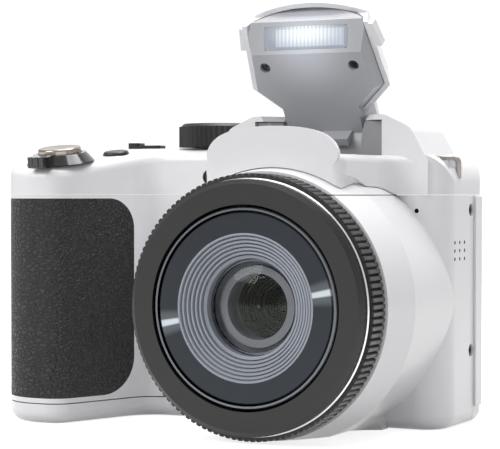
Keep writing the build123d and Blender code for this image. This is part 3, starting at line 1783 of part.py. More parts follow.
with BuildPart() as shutter_button:
    with BuildSketch(deck_plane(lever_x, lever_y, shutter_low)):
        Circle(shutter_radius)
    extrude(amount=shutter_top - shutter_low)
    fillet(shutter_button.edges().filter_by(GeomType.CIRCLE).sort_by(lever_line)[-1], shutter_edge)
    with BuildSketch(deck_plane(lever_x, lever_y, -stem_bottom)):
        Circle(shutter_stem)
    extrude(amount=shutter_low + stem_bottom + shutter_edge)
    dish_radius = (shutter_radius * shutter_radius + shutter_dish * shutter_dish) / (2 * shutter_dish)
    with Locations(deck_plane(lever_x, lever_y, shutter_top + dish_radius - shutter_dish)):
        Sphere(dish_radius, mode=Mode.SUBTRACT)
shutter_button.part.label = "shutter_button"
export_step(shutter_button.part, "parts/shutter_button.step")

power_edge = 0.8

with BuildPart() as power_button:
    with BuildSketch(deck_plane(power_x, power_y, -key_depth)):
        Circle(power_radius)
    extrude(amount=key_depth + power_proud)
    fillet(power_button.edges().filter_by(GeomType.CIRCLE).sort_by(lever_line)[-1], power_edge)
power_button.part.label = "power_button"
export_step(power_button.part, "parts/power_button.step")

drive_corner = 1.2
drive_raise = 0.7
drive_raise_length = 3.4

with BuildPart() as drive_button:
    with BuildSketch(Plane.XY.offset(cavity_top - seam)):
        with Locations((drive_x, drive_y)):
            RectangleRounded(drive_length, drive_width, drive_corner)
    extrude(amount=deck_height + drive_proud - cavity_top + seam)
    with BuildSketch(Plane.XY.offset(cavity_top - seam - key_flange_thickness)):
        with Locations((drive_x, drive_y)):
            RectangleRounded(drive_length + 2 * key_flange, drive_width + 2 * key_flange, drive_corner)
    extrude(amount=key_flange_thickness)
    with BuildSketch(Plane.XY.offset(deck_height)):
        with Locations((drive_x - drive_length / 2 + drive_raise_length / 2, drive_y)):
            RectangleRounded(drive_raise_length, drive_width, drive_corner)
    extrude(amount=drive_proud + drive_raise)
drive_button.part.label = "drive_button"
export_step(drive_button.part, "parts/drive_button.step")

dial_face = Plane(origin=(dial_x, dial_y, deck_height + dial_base), z_dir=(0, 0, 1))

with BuildPart() as mode_dial:
    with BuildSketch(dial_face):
        with BuildLine():
            Polyline(*ribbed_outline(dial_radius - dial_rib_depth, dial_radius, dial_ribs), close=True)
        make_face()
    extrude(amount=dial_height - dial_edge)
    with BuildSketch(dial_face.offset(dial_height - dial_edge)):
        Circle(dial_radius - dial_rib_depth)
    with BuildSketch(dial_face.offset(dial_height)):
        Circle(dial_radius - dial_rib_depth - dial_edge)
    loft()
    with BuildSketch(dial_face.offset(-dial_shaft_length)):
        Circle(dial_shaft)
    extrude(amount=dial_shaft_length)
mode_dial.part.label = "mode_dial"
export_step(mode_dial.part, "parts/mode_dial.step")

# Buttons on the rear, each held behind the shell by its flange
button_face = rear_face + button_proud
flange_face = rear_face - wall - fit_gap
cap_edge = 0.3

with BuildPart() as video_button:
    with BuildSketch(Plane.XZ.offset(-button_face)):
        with Locations(rear_button_places[0]):
            Circle(button_radius)
    extrude(amount=button_face - flange_face + button_flange_thickness)
    fillet(video_button.edges().sort_by(Axis.Y)[-1], cap_edge)
    with BuildSketch(Plane.XZ.offset(-flange_face)):
        with Locations(rear_button_places[0]):
            Circle(button_radius + button_flange)
    extrude(amount=button_flange_thickness)
video_button.part.label = "video_button"
export_step(video_button.part, "parts/video_button.step")

with BuildPart() as menu_button:
    with BuildSketch(Plane.XZ.offset(-button_face)):
        with Locations(rear_button_places[1]):
            Circle(button_radius)
    extrude(amount=button_face - flange_face + button_flange_thickness)
    fillet(menu_button.edges().sort_by(Axis.Y)[-1], cap_edge)
    with BuildSketch(Plane.XZ.offset(-flange_face)):
        with Locations(rear_button_places[1]):
            Circle(button_radius + button_flange)
    extrude(amount=button_flange_thickness)
menu_button.part.label = "menu_button"
export_step(menu_button.part, "parts/menu_button.step")

with BuildPart() as playback_button:
    with BuildSketch(Plane.XZ.offset(-button_face)):
        with Locations(rear_button_places[2]):
            Circle(button_radius)
    extrude(amount=button_face - flange_face + button_flange_thickness)
    fillet(playback_button.edges().sort_by(Axis.Y)[-1], cap_edge)
    with BuildSketch(Plane.XZ.offset(-flange_face)):
        with Locations(rear_button_places[2]):
            Circle(button_radius + button_flange)
    extrude(amount=button_flange_thickness)
playback_button.part.label = "playback_button"
export_step(playback_button.part, "parts/playback_button.step")

with BuildPart() as display_button:
    with BuildSketch(Plane.XZ.offset(-button_face)):
        with Locations(rear_button_places[3]):
            Circle(button_radius)
    extrude(amount=button_face - flange_face + button_flange_thickness)
    fillet(display_button.edges().sort_by(Axis.Y)[-1], cap_edge)
    with BuildSketch(Plane.XZ.offset(-flange_face)):
        with Locations(rear_button_places[3]):
            Circle(button_radius + button_flange)
    extrude(amount=button_flange_thickness)
display_button.part.label = "display_button"
export_step(display_button.part, "parts/display_button.step")

pad_proud = 1.0
pad_dish = 0.4
pad_land = 2.0

with BuildPart() as four_way_pad:
    with BuildSketch(Plane.XZ.offset(-rear_face - pad_proud)):
        with Locations((pad_x, pad_height)):
            Circle(pad_radius)
    extrude(amount=rear_face + pad_proud - flange_face + button_flange_thickness)
    fillet(four_way_pad.edges().sort_by(Axis.Y)[-1], pad_dish)
    with BuildSketch(Plane.XZ.offset(-flange_face)):
        with Locations((pad_x, pad_height)):
            Circle(pad_radius + button_flange)
    extrude(amount=button_flange_thickness)
    with BuildSketch(Plane.XZ.offset(-rear_face - pad_proud)):
        with Locations((pad_x, pad_height)):
            Circle(pad_radius - pad_land)
    extrude(amount=pad_dish, mode=Mode.SUBTRACT)
    with BuildSketch(Plane.XZ.offset(-rear_face - pad_proud)):
        with Locations((pad_x, pad_height)):
            Circle(ok_radius + button_gap)
    extrude(amount=rear_face, mode=Mode.SUBTRACT)
four_way_pad.part.label = "four_way_pad"
export_step(four_way_pad.part, "parts/four_way_pad.step")

with BuildPart() as ok_button:
    with BuildSketch(Plane.XZ.offset(-button_face)):
        with Locations((pad_x, pad_height)):
            Circle(ok_radius)
    extrude(amount=button_face - flange_face + button_flange_thickness)
    fillet(ok_button.edges().sort_by(Axis.Y)[-1], cap_edge)
ok_button.part.label = "ok_button"
export_step(ok_button.part, "parts/ok_button.step")

with BuildPart() as thumb_rest:
    with BuildSketch(Plane.XZ.offset(-rear_face - thumb_proud)):
        with Locations((thumb_x, thumb_height)):
            RectangleRounded(thumb_width, thumb_tall, window_corner - fit_gap)
    extrude(amount=thumb_proud + thumb_depth)
    fillet(thumb_rest.edges().group_by(Axis.Y)[-1], cap_edge)
thumb_rest.part.label = "thumb_rest"
export_step(thumb_rest.part, "parts/thumb_rest.step")
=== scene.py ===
"""White bridge camera with its flash raised: finishes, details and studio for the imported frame."""

import math

import bpy
from bpy.props import FloatProperty, FloatVectorProperty, IntProperty, PointerProperty
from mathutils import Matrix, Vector


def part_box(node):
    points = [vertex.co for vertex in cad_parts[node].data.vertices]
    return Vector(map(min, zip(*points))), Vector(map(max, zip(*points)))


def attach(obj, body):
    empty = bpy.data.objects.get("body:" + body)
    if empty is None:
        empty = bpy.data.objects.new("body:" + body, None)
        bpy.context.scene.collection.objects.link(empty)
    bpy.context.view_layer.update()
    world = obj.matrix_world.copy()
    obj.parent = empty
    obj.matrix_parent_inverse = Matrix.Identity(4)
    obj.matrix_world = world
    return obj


bl_info = {
    "name": "Bridge Camera",
    "version": (1, 0, 0),
    "blender": (4, 5, 0),
    "location": "View3D > Sidebar > Camera",
    "description": "Finishes, lens details, plain marks and a studio for the packed bridge camera",
    "category": "Object",
}

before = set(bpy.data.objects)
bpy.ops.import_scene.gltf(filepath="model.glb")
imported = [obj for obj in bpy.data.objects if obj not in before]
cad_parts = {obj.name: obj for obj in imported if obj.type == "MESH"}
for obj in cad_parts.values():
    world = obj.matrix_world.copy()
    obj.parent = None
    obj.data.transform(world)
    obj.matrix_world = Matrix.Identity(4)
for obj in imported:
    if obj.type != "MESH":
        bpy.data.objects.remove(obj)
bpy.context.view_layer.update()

MM = 0.001
RING_LOW, RING_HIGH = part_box("front_ring")
LENS_HEIGHT = (RING_LOW.z + RING_HIGH.z) / 2
LENS_FRONT = RING_LOW.y
TINY_RADIUS = 0.01 * MM
MERGE_DISTANCE = 0.002 * MM
SMOOTH_ANGLE = 35
ROUND_CORNERS = 24
DIAL_STEPS = 10


# Sizes and colours that a user would change

def colour(label, help_text, value):
    """A colour property with its default."""
    return FloatVectorProperty(
        name=label, description=help_text, subtype="COLOR", size=3, min=0, max=1, default=value
    )


def length(label, help_text, value):
    """A length property in metres with its default in millimetres."""
    return FloatProperty(name=label, description=help_text, unit="LENGTH", default=value * MM)


class BodyColours(bpy.types.PropertyGroup):
    """Colours of the casing, the grip and the controls."""

    white: colour("White", "Casing plastic", (0.80, 0.795, 0.815))
    # Painted shade: a dark band painted along the parting lines stands in for the shade in the gaps
    # between the shells
    seam: colour("Seam", "Painted seam shade between the shells", (0.05, 0.05, 0.052))
    rubber: colour("Rubber", "Grip and thumb rest", (0.011, 0.010, 0.0105))
    black: colour("Black", "Controls and ring plastic", (0.016, 0.016, 0.017))
    steel: colour("Steel", "Lugs and socket", (0.42, 0.39, 0.37))
    screw: colour("Screws", "Blackened screws", (0.08, 0.08, 0.085))
    mark: colour("Marks", "Printed marks on the dial and buttons", (0.62, 0.62, 0.64))
    shutter: colour("Shutter cap", "Metal cap of the shutter button", (0.36, 0.32, 0.28))


class LensColours(bpy.types.PropertyGroup):
    """Colours of the lens pieces."""

    ring: colour("Front ring", "Satin front ring", (0.012, 0.012, 0.0115))
    barrel: colour("Barrel front", "Turned dark front of the inner barrel", (0.028, 0.032, 0.038))
    baffle: colour("Baffle", "Sandblasted ridges round the glass", (0.32, 0.345, 0.39))
    rim: colour("Barrel rim", "Rim of the outer barrel", (0.15, 0.16, 0.175))
    bezel: colour("Bezel", "Ring round the inner glass", (0.17, 0.18, 0.20))
    coating: colour("Coating", "Tint of the coated glass", (0.80, 0.86, 0.78))
    inner: colour("Inner glass", "Tint of the glass inside the lens", (0.50, 0.62, 0.42))
    cell: colour("Lens cell", "Stepped black rings inside the lens", (0.010, 0.009, 0.006))
    # Painted highlight: colour of the bright streaks painted onto the barrel front
    painted_sheen: colour("Sheen", "Bright streaks on the turned barrel front", (0.80, 0.88, 0.94))


class FlashColours(bpy.types.PropertyGroup):
    """Colours of the raised flash."""

    cover: colour("Cover", "Outer cover of the flash", (0.80, 0.80, 0.82))
    housing: colour("Housing", "Inner face of the flash", (0.42, 0.425, 0.45))
    # Painted light: a paler pool painted on the housing about the window
    housing_painted_light: colour("Lit housing", "Housing next to the lit window", (0.70, 0.72, 0.78))
    well: colour("Well", "Tray and cheeks that the flash folds into", (0.30, 0.30, 0.31))
    frame: colour("Window", "Cast of the clear window", (0.42, 0.46, 0.53))
    # Painted glow given off by the window, the reflector and the tube
    glow: colour("Glow", "Light of the flash tube", (0.93, 1.0, 0.95))
    glow_strength: FloatProperty(
        name="Glow strength", description="Strength of the lit window", default=0.9
    )


class LensSizes(bpy.types.PropertyGroup):
    """Sizes of the modelled lens details."""

    element_radius: length("Front element radius", "Outer radius of the domed front element", 11.2)
    element_depth: length("Front element depth", "Depth of its rim behind the ring's front", 6.4)
    element_crown: length("Front element crown", "How far the dome stands before its rim", 2.6)
    rim_width: length("Rim width", "Width of the bright line round the element", 0.35)
    groove_pitch: length("Groove pitch", "Pitch of the turned grooves on the barrel front", 0.16)
    iris_blades: IntProperty(name="Iris blades", description="Number of iris blades", default=6)
    iris_radius: length("Iris opening", "Radius of the iris opening", 2.6)
    cell_start: length("Cell start", "Depth of the stepped cell's front", 14.3)
    cell_radius: length("Cell radius", "Inner radius of the stepped cell's front", 8.3)
    cell_steps: IntProperty(name="Cell steps", description="Number of steps inside the cell", default=6)


class StudioSettings(bpy.types.PropertyGroup):
    """The photograph's view and the studio lights."""

    eye: FloatVectorProperty(
        name="Eye", description="Place of the camera", subtype="TRANSLATION", unit="LENGTH",
        default=(0.1989, -0.4612, 0.0603),
    )
    turn: FloatProperty(
        name="Turn", description="How far the view is turned to the object's left", subtype="ANGLE",
        default=math.radians(26.05),
    )
    pitch: FloatProperty(
        name="Pitch", description="How far the view looks down", subtype="ANGLE",
        default=math.radians(0.944),
    )
    focal_length: FloatProperty(
        name="Focal length", description="Focal length on a 36 mm wide frame, in mm", default=135.42
    )
    ambient: FloatProperty(name="Ambient", description="Strength of the even light", default=0.45)
    key_power: FloatProperty(name="Key", description="Power of the key light in watts", default=6.4)
    fill_power: FloatProperty(name="Fill", description="Power of the fill light in watts", default=0.08)
    top_power: FloatProperty(
        name="Top", description="Power of the overhead light in watts", default=10.5
    )
    strip_power: FloatProperty(
        name="Strip", description="Power of the narrow light in watts", default=0.06
    )
    floor: colour("Floor", "Pale floor", (0.50, 0.50, 0.50))
    floor_lift: FloatProperty(
        name="Floor lift", description="How far the floor is lifted to white", default=0.80
    )


SETTINGS = {
    "camera_body_colours": BodyColours,
    "camera_lens_colours": LensColours,
    "camera_flash_colours": FlashColours,
    "camera_lens_sizes": LensSizes,
    "camera_studio": StudioSettings,
}


def settings(name):
    """The scene's values of one property group."""
    return getattr(bpy.context.scene, name)


# Modelling helpers

def deselect():
    """Leaves object mode with nothing selected."""
    if bpy.context.object and bpy.context.object.mode != "OBJECT":
        bpy.ops.object.mode_set(mode="OBJECT")
    bpy.ops.object.select_all(action="DESELECT")


def named(name):
    """Names the object that an operator has just added."""
    piece = bpy.context.object
    piece.name = name
    piece.data.name = name
    return piece


def apply_place(piece):
    """Moves a piece's place into its mesh."""
    deselect()
    piece.select_set(True)
    bpy.context.view_layer.objects.active = piece
    bpy.ops.object.transform_apply(location=True, rotation=True, scale=True)


def apply_modifier(piece, kind, **values):
    """Adds a modifier with its values and applies it."""
    modifier = piece.modifiers.new(kind.title(), kind)
    for key, value in values.items():
        setattr(modifier, key, value)
    deselect()
    bpy.context.view_layer.objects.active = piece
    piece.select_set(True)
    bpy.ops.object.modifier_apply(modifier=modifier.name)


def finish_piece(piece, body, material, angle=SMOOTH_ANGLE):
    """Smooths a finished piece, gives it its material and lets it ride on its body."""
    deselect()
    bpy.context.view_layer.objects.active = piece
    piece.select_set(True)
    bpy.ops.object.shade_smooth_by_angle(angle=math.radians(angle))
    piece.data.materials.clear()
    piece.data.materials.append(material)
    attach(piece, body)
    deselect()


def on_axis(depth):
    """A point on the lens axis, that far behind the front ring's face."""
    return Vector((0, LENS_FRONT + depth, LENS_HEIGHT))


def turned_piece(name, profile, steps=128):
    """A piece turned on the lens axis from (radius, depth) points: extruded along them, then spun."""
    deselect()
    first = profile[0]
    start = on_axis(first[1]) + Vector((first[0], 0, 0))
    bpy.ops.mesh.primitive_plane_add(size=MM, location=start)
    piece = named(name)
    bpy.ops.object.mode_set(mode="EDIT")
    bpy.ops.mesh.select_all(action="SELECT")
    bpy.ops.mesh.merge(type="CENTER")
    for before, after in zip(profile, profile[1:]):
        step = (after[0] - before[0], after[1] - before[1], 0)
        bpy.ops.mesh.extrude_region_move(TRANSFORM_OT_translate={"value": step})
    bpy.ops.object.mode_set(mode="OBJECT")
    apply_place(piece)
    bpy.ops.object.mode_set(mode="EDIT")
    bpy.ops.mesh.select_all(action="SELECT")
    bpy.ops.mesh.spin(steps=steps, angle=math.tau, center=on_axis(0), axis=(0, 1, 0))
    bpy.ops.mesh.select_all(action="SELECT")
    bpy.ops.mesh.remove_doubles(threshold=MERGE_DISTANCE)
    bpy.ops.mesh.normals_make_consistent(inside=False)
    bpy.ops.object.mode_set(mode="OBJECT")
    return piece


def ring_profile(inner, outer, near, far):
    """The closed outline of a flat ring between two radii and two depths."""
    return [(inner, near), (outer, near), (outer, far), (inner, far), (inner, near)]


def dome_face(reach, depth, crown, steps):
    """The outline of a dome from its top to its rim, which has that radius and depth."""
    face = []
    for step in range(steps + 1):
        share = step / steps
        face.append((max(reach * share, TINY_RADIUS), depth - crown * (1 - share**2)))
    return face


# Node helpers

class Nodes:
    """Adds and links the nodes of one tree."""

    def __init__(self, tree):
        self.tree = tree

    def add(self, kind, inputs=None, **values):
        """A node with its values, and with its inputs set or linked."""
        node = self.tree.nodes.new(kind)
        for key, value in values.items():
            setattr(node, key, value)
        for key, value in (inputs or {}).items():
            if isinstance(value, bpy.types.NodeSocket):
                self.tree.links.new(value, node.inputs[key])
            else:
                node.inputs[key].default_value = value
        return node

    def group(self, key, **inputs):
        """One of the shared groups, with its values; underlines stand for spaces in their names."""
        node = self.add("ShaderNodeGroup", node_tree=GROUPS[key])
        for name, value in inputs.items():
            node.inputs[name.replace("_", " ")].default_value = value
        return node

    def link(self, output, target):
        """Links an output to an input."""
        self.tree.links.new(output, target)

    def math(self, operation, first, second=0.0):
        """The output of one sum."""
        node = self.add("ShaderNodeMath", {0: first, 1: second}, operation=operation)
        return node.outputs[0]

    def vector(self, operation, first, second):
        """The output of one vector sum."""
        node = self.add("ShaderNodeVectorMath", {0: first, 1: second}, operation=operation)
        return node.outputs[0]

    def ramp(self, value, start, end, low, high, shape):
        """The output of a smooth change from low to high as the value goes from start to end."""
        ends = {"Value": value, "From Min": start, "From Max": end, "To Min": low, "To Max": high}
        return self.add("ShaderNodeMapRange", ends, interpolation_type=shape).outputs[0]

    def noise(self, place, scale, detail):
        """The value of a noise texture."""
        inputs = {"Vector": place, "Scale": scale, "Detail": detail}
        return self.add("ShaderNodeTexNoise", inputs).outputs[0]

    def mix(self, factor, first, second):
        """The output of a colour mix."""
        node = self.add("ShaderNodeMix", data_type="RGBA")
        for key, value in {0: factor, 6: first, 7: second}.items():
            if isinstance(value, bpy.types.NodeSocket):
                self.tree.links.new(value, node.inputs[key])
            elif key:
                node.inputs[key].default_value = (*value[:3], 1)
            else:
                node.inputs[key].default_value = value
        return node.outputs[2]


def node_group(name, inputs, outputs):
    """A new node group; its inputs are (name, kind, default) and its outputs are (name, kind)."""
    tree = bpy.data.node_groups.new(name, "ShaderNodeTree")
    for label, kind, default in inputs:
        socket = tree.interface.new_socket(label, in_out="INPUT", socket_type="NodeSocket" + kind)
        socket.default_value = default
    for label, kind in outputs:
        tree.interface.new_socket(label, in_out="OUTPUT", socket_type="NodeSocket" + kind)
    nodes = Nodes(tree)
    source = nodes.add("NodeGroupInput").outputs
    result = nodes.add("NodeGroupOutput").inputs
    return nodes, source, result


def object_place(nodes):
    """Object coordinates."""
    return nodes.add("ShaderNodeTexCoord").outputs["Object"]


def parts_from(nodes, centre):
    """X, Y and Z of the object coordinates, counted from a centre."""
    apart = nodes.vector("SUBTRACT", object_place(nodes), centre)
    return nodes.add("ShaderNodeSeparateXYZ", {0: apart}).outputs


# Node groups that the materials share

def soft_variation_group():
    """Slow changes of colour and roughness, as on moulded plastic."""
    nodes, source, result = node_group(
        "Soft variation",
        [("Color", "Color", (0.8, 0.8, 0.8, 1)), ("Roughness", "Float", 0.3), ("Amount", "Float", 0.03)],
        [("Color", "Color"), ("Roughness", "Float")],
    )
    rough_share = 1.5
    place = object_place(nodes)
    slow = nodes.noise(place, 38.0, 2.0)
    fine = nodes.noise(place, 420.0, 3.0)
    swing = nodes.math("MULTIPLY", nodes.math("SUBTRACT", slow, 0.5), source["Amount"])
    gain = nodes.math("ADD", swing, 1.0)
    shade = nodes.add("ShaderNodeVectorMath", {0: source["Color"], "Scale": gain}, operation="SCALE")
    nodes.link(shade.outputs[0], result["Color"])
    both = nodes.math("ADD", nodes.math("SUBTRACT", fine, 0.5), nodes.math("SUBTRACT", slow, 0.5))
    spread = nodes.math("MULTIPLY", both, nodes.math("MULTIPLY", source["Amount"], rough_share))
    nodes.link(nodes.math("ADD", source["Roughness"], spread), result["Roughness"])
    return nodes.tree


def moulded_group():
    """Height of a fine moulded or sandblasted surface; Scale is in grains per metre."""
    nodes, source, result = node_group(
        "Moulded surface", [("Scale", "Float", 2500.0)], [("Height", "Float")]
    )
    nodes.link(nodes.noise(object_place(nodes), source["Scale"], 3.0), result["Height"])
    return nodes.tree


def leather_group():
    """Leather grain: wrinkles drawn out along one diagonal, with creases between them."""
    nodes, source, result = node_group(
        "Leather grain",
        [("Scale", "Float", 1050.0), ("Crease", "Float", 0.30)],
        [("Height", "Float"), ("Crease", "Float")],
    )
    slant, stretch, wander, pore_share = math.radians(-38), (0.5, 1, 1), 1.1 * MM, 0.25
    place = nodes.add(
        "ShaderNodeMapping",
        {"Vector": object_place(nodes), "Rotation": (0, slant, 0), "Scale": stretch},
    ).outputs[0]
    warp = nodes.add("ShaderNodeTexNoise", {"Vector": place, "Scale": 800.0, "Detail": 2.0})
    centred = nodes.vector("SUBTRACT", warp.outputs["Color"], (0.5, 0.5, 0.5))
    small = nodes.add("ShaderNodeVectorMath", {0: centred, "Scale": wander}, operation="SCALE")
    moved = nodes.vector("ADD", place, small.outputs[0])
    edge = nodes.add(
        "ShaderNodeTexVoronoi", {"Vector": moved, "Scale": source["Scale"]}, feature="DISTANCE_TO_EDGE"
    ).outputs["Distance"]
    cell = nodes.add(
        "ShaderNodeTexVoronoi", {"Vector": moved, "Scale": source["Scale"]}, feature="F1"
    )
    dome = nodes.ramp(edge, 0.0, source["Crease"], 0.0, 1.0, "SMOOTHERSTEP")
    own = nodes.add("ShaderNodeSeparateColor", {0: cell.outputs["Color"]}).outputs[0]
    raised = nodes.math("MULTIPLY", dome, nodes.math("ADD", nodes.math("MULTIPLY", own, 0.5), 0.5))
    pore = nodes.math("MULTIPLY", nodes.noise(place, 5200.0, 2.0), pore_share)
    nodes.link(nodes.math("ADD", raised, pore), result["Height"])
    nodes.link(nodes.math("SUBTRACT", 1.0, dome), result["Crease"])
    return nodes.tree


def turned_group():
    """Fine circular grooves round the lens axis, as a lathe leaves them."""
    nodes, source, result = node_group(
        "Turned grooves",
        [("Pitch", "Float", 0.16 * MM), ("Uneven", "Float", 0.3)],
        [("Height", "Float")],
    )
    wave_share = 0.35
    parts = parts_from(nodes, (0, 0, LENS_HEIGHT))
    flat = nodes.add("ShaderNodeCombineXYZ", {"X": parts["X"], "Z": parts["Z"]}).outputs[0]
    radius = nodes.add("ShaderNodeVectorMath", {0: flat}, operation="LENGTH").outputs["Value"]
    turns = nodes.math("DIVIDE", radius, source["Pitch"])
    wave = nodes.math("SINE", nodes.math("MULTIPLY", turns, math.tau))
    chatter = nodes.add(
        "ShaderNodeTexNoise", {"W": turns, "Scale": 1.7, "Detail": 2.0}, noise_dimensions="1D"
    ).outputs[0]
    even = nodes.math("MULTIPLY", wave, wave_share)
    uneven = nodes.math("MULTIPLY", chatter, source["Uneven"])
    nodes.link(nodes.math("ADD", even, uneven), result["Height"])
    return nodes.tree


def painted_sheen_group():
    """Mask of two opposite painted highlight streaks on the inner barrel's front, where turned metal
    would reflect the lights.
    """
    nodes, source, result = node_group(
        "Painted sheen",
        [("Turn", "Float", 0.19), ("Core", "Float", 0.9988), ("Glow", "Float", 0.985)],
        [("Mask", "Float")],
    )
    core_height, glow_height, face_depth = 0.62, 0.10, 1.0 * MM
    parts = parts_from(nodes, (0, 0, LENS_HEIGHT))
    angle = nodes.math("SUBTRACT", nodes.math("ARCTAN2", parts["Z"], parts["X"]), source["Turn"])
    along = nodes.math("ABSOLUTE", nodes.math("COSINE", angle))
    core = nodes.ramp(along, source["Core"], 1.0, 0.0, core_height, "SMOOTHERSTEP")
    glow = nodes.ramp(along, source["Glow"], 1.0, 0.0, glow_height, "SMOOTHERSTEP")
    both = nodes.math("ADD", core, glow)
    face_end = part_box("inner_barrel")[0].y + face_depth
    on_face = nodes.math("LESS_THAN", parts["Y"], face_end)
    nodes.link(nodes.math("MULTIPLY", both, on_face), result["Mask"])
    return nodes.tree


def spot_group():
    """Soft round mask about a place: one at its centre, falling to nothing at the radius."""
    nodes, source, result = node_group(
        "Soft spot",
        [("Centre", "Vector", (0, 0, 0)), ("Stretch", "Vector", (1, 1, 1)), ("Radius", "Float", 0.01)],
        [("Mask", "Float")],
    )
    apart = nodes.vector("SUBTRACT", object_place(nodes), source["Centre"])
    stretched = nodes.vector("MULTIPLY", apart, source["Stretch"])
    reach = nodes.add("ShaderNodeVectorMath", {0: stretched}, operation="LENGTH").outputs["Value"]
    nodes.link(nodes.ramp(reach, 0.0, source["Radius"], 1.0, 0.0, "SMOOTHSTEP"), result["Mask"])
    return nodes.tree


def frame_group():
    """Mask of a rectangle in X and Z about a centre, with its two half sizes."""
    nodes, source, result = node_group(
        "Rectangle",
        [("Centre", "Vector", (0, 0, 0)), ("Half X", "Float", 0.01), ("Half Z", "Float", 0.01)],
        [("Mask", "Float")],
    )
    parts = parts_from(nodes, source["Centre"])
    across = nodes.math("LESS_THAN", nodes.math("ABSOLUTE", parts["X"]), source["Half X"])
    upward = nodes.math("LESS_THAN", nodes.math("ABSOLUTE", parts["Z"]), source["Half Z"])
    nodes.link(nodes.math("MULTIPLY", across, upward), result["Mask"])
    return nodes.tree


def painted_seam_group():
    """Mask of the painted shade along the parting lines under the top cover and over the base cover."""
    nodes, source, result = node_group(
        "Painted seam shade", [("Half width", "Float", 0.13 * MM)], [("Mask", "Float")]
    )
    parts = nodes.add("ShaderNodeSeparateXYZ", {0: object_place(nodes)}).outputs

    def line(axis, place):
        """Mask of one plane's line."""
        apart = nodes.math("ABSOLUTE", nodes.math("SUBTRACT", parts[axis], place))
        return nodes.math("LESS_THAN", apart, source["Half width"])

    gap = 0.1 * MM
    top_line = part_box("top_cover")[0].z - gap
    base_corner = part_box("base_cover")[1]
    over_base = nodes.math("LESS_THAN", parts["X"], base_corner.x + gap)
    base_line = nodes.math("MULTIPLY", line("Z", base_corner.z + gap), over_base)
    every = nodes.math("MAXIMUM", line("Z", top_line), base_line)
    nodes.link(every, result["Mask"])
    return nodes.tree


GROUPS = {}


def build_groups():
    """Builds each shared node group once."""
    GROUPS["variation"] = soft_variation_group()
    GROUPS["moulded"] = moulded_group()
    GROUPS["leather"] = leather_group()
    GROUPS["turned"] = turned_group()
    GROUPS["painted_sheen"] = painted_sheen_group()
    GROUPS["spot"] = spot_group()
    GROUPS["frame"] = frame_group()
    GROUPS["painted_seams"] = painted_seam_group()


# Materials

def new_material(name):
    """An empty material: its node helper, its shader and the material."""
    material = bpy.data.materials.new(name)
    material.use_nodes = True
    nodes = Nodes(material.node_tree)
    shader = material.node_tree.nodes["Principled BSDF"]
    return nodes, shader, material


def vary(nodes, shader, base, roughness, amount):
    """Gives a shader the slow variation about its base colour and its roughness."""
    soft = nodes.group("variation", Color=(*base, 1), Roughness=roughness, Amount=amount)
    nodes.link(soft.outputs["Color"], shader.inputs["Base Color"])
    nodes.link(soft.outputs["Roughness"], shader.inputs["Roughness"])


def overlay(material, key, shade, **inputs):
    """Lays a second colour over a material's own where a shared mask says so."""
    nodes = Nodes(material.node_tree)
    shader = material.node_tree.nodes["Principled BSDF"]
    plain = shader.inputs["Base Color"].links[0].from_socket
    mask = nodes.group(key, **inputs).outputs["Mask"]
    nodes.link(nodes.mix(mask, plain, shade), shader.inputs["Base Color"])


def plastic(name, base, roughness, variation, grain, depth, coat=0.0):
    """Moulded plastic; grain is per metre and depth in metres."""
    nodes, shader, material = new_material(name)
    vary(nodes, shader, base, roughness, variation)
    skin = nodes.group("moulded", Scale=grain)
    bump = nodes.add("ShaderNodeBump", {"Height": skin.outputs["Height"], "Distance": depth})
    nodes.link(bump.outputs[0], shader.inputs["Normal"])
    shader.inputs["IOR"].default_value = 1.5
    shader.inputs["Coat Weight"].default_value = coat
    shader.inputs["Coat Roughness"].default_value = 0.12
    return material


def metal(name, base, roughness, grain, depth):
    """Plain metal with a fine grain."""
    material = plastic(name, base, roughness, 0.08, grain, depth)
    shader = material.node_tree.nodes["Principled BSDF"]
    shader.inputs["Metallic"].default_value = 1.0
    return material


def leather_rubber(name, base):
    """Grip rubber with a leather grain, duller in its creases and darker there with painted shade."""
    painted_crease_shade, smooth, crease_rough, relief = 0.2, 0.30, 0.3, 0.55 * MM
    nodes, shader, material = new_material(name)
    grain = nodes.group("leather")
    # Painted shade: the creases are darkened in colour
    dark = tuple(part * painted_crease_shade for part in base)
    shade = nodes.mix(grain.outputs["Crease"], base, dark)
    nodes.link(shade, shader.inputs["Base Color"])
    rough = nodes.math("ADD", smooth, nodes.math("MULTIPLY", grain.outputs["Crease"], crease_rough))
    nodes.link(rough, shader.inputs["Roughness"])
    bump = nodes.add("ShaderNodeBump", {"Height": grain.outputs["Height"], "Distance": relief})
    nodes.link(bump.outputs[0], shader.inputs["Normal"])
    return material


def turned_metal(name, base, roughness, pitch, depth, metallic, painted_sheen):
    """Satin metal or paint with turned grooves round the lens axis, and the colour of the painted
    highlight streaks over it.
    """
    nodes, shader, material = new_material(name)
    vary(nodes, shader, base, roughness, 0.12)
    grooves = nodes.group("turned", Pitch=pitch)
    bump = nodes.add("ShaderNodeBump", {"Height": grooves.outputs["Height"], "Distance": depth})
    nodes.link(bump.outputs[0], shader.inputs["Normal"])
    shader.inputs["Metallic"].default_value = metallic
    # Painted highlight: the streak colour is laid over the base colour
    overlay(material, "painted_sheen", painted_sheen)
    return material


def coated_glass(name, tint, mirror):
    """Clear glass with a thin coating; mirror is its share of bare glass's reflection."""
    nodes, shader, material = new_material(name)
    soft = nodes.group("variation", Color=(*tint, 1), Amount=0.05)
    nodes.link(soft.outputs["Color"], shader.inputs["Base Color"])
    shader.inputs["Roughness"].default_value = 0.02
    shader.inputs["Metallic"].default_value = 1.0
    grazing = nodes.add("ShaderNodeFresnel", {"IOR": 1.52}).outputs[0]
    shadow = nodes.add("ShaderNodeLightPath").outputs["Is Shadow Ray"]
    back = nodes.add("ShaderNodeNewGeometry").outputs["Backfacing"]
    seen = nodes.math("SUBTRACT", 1.0, nodes.math("MAXIMUM", shadow, back))
    share = nodes.math("MULTIPLY", grazing, mirror)
    nodes.link(nodes.math("MULTIPLY", share, seen), shader.inputs["Alpha"])
    return material


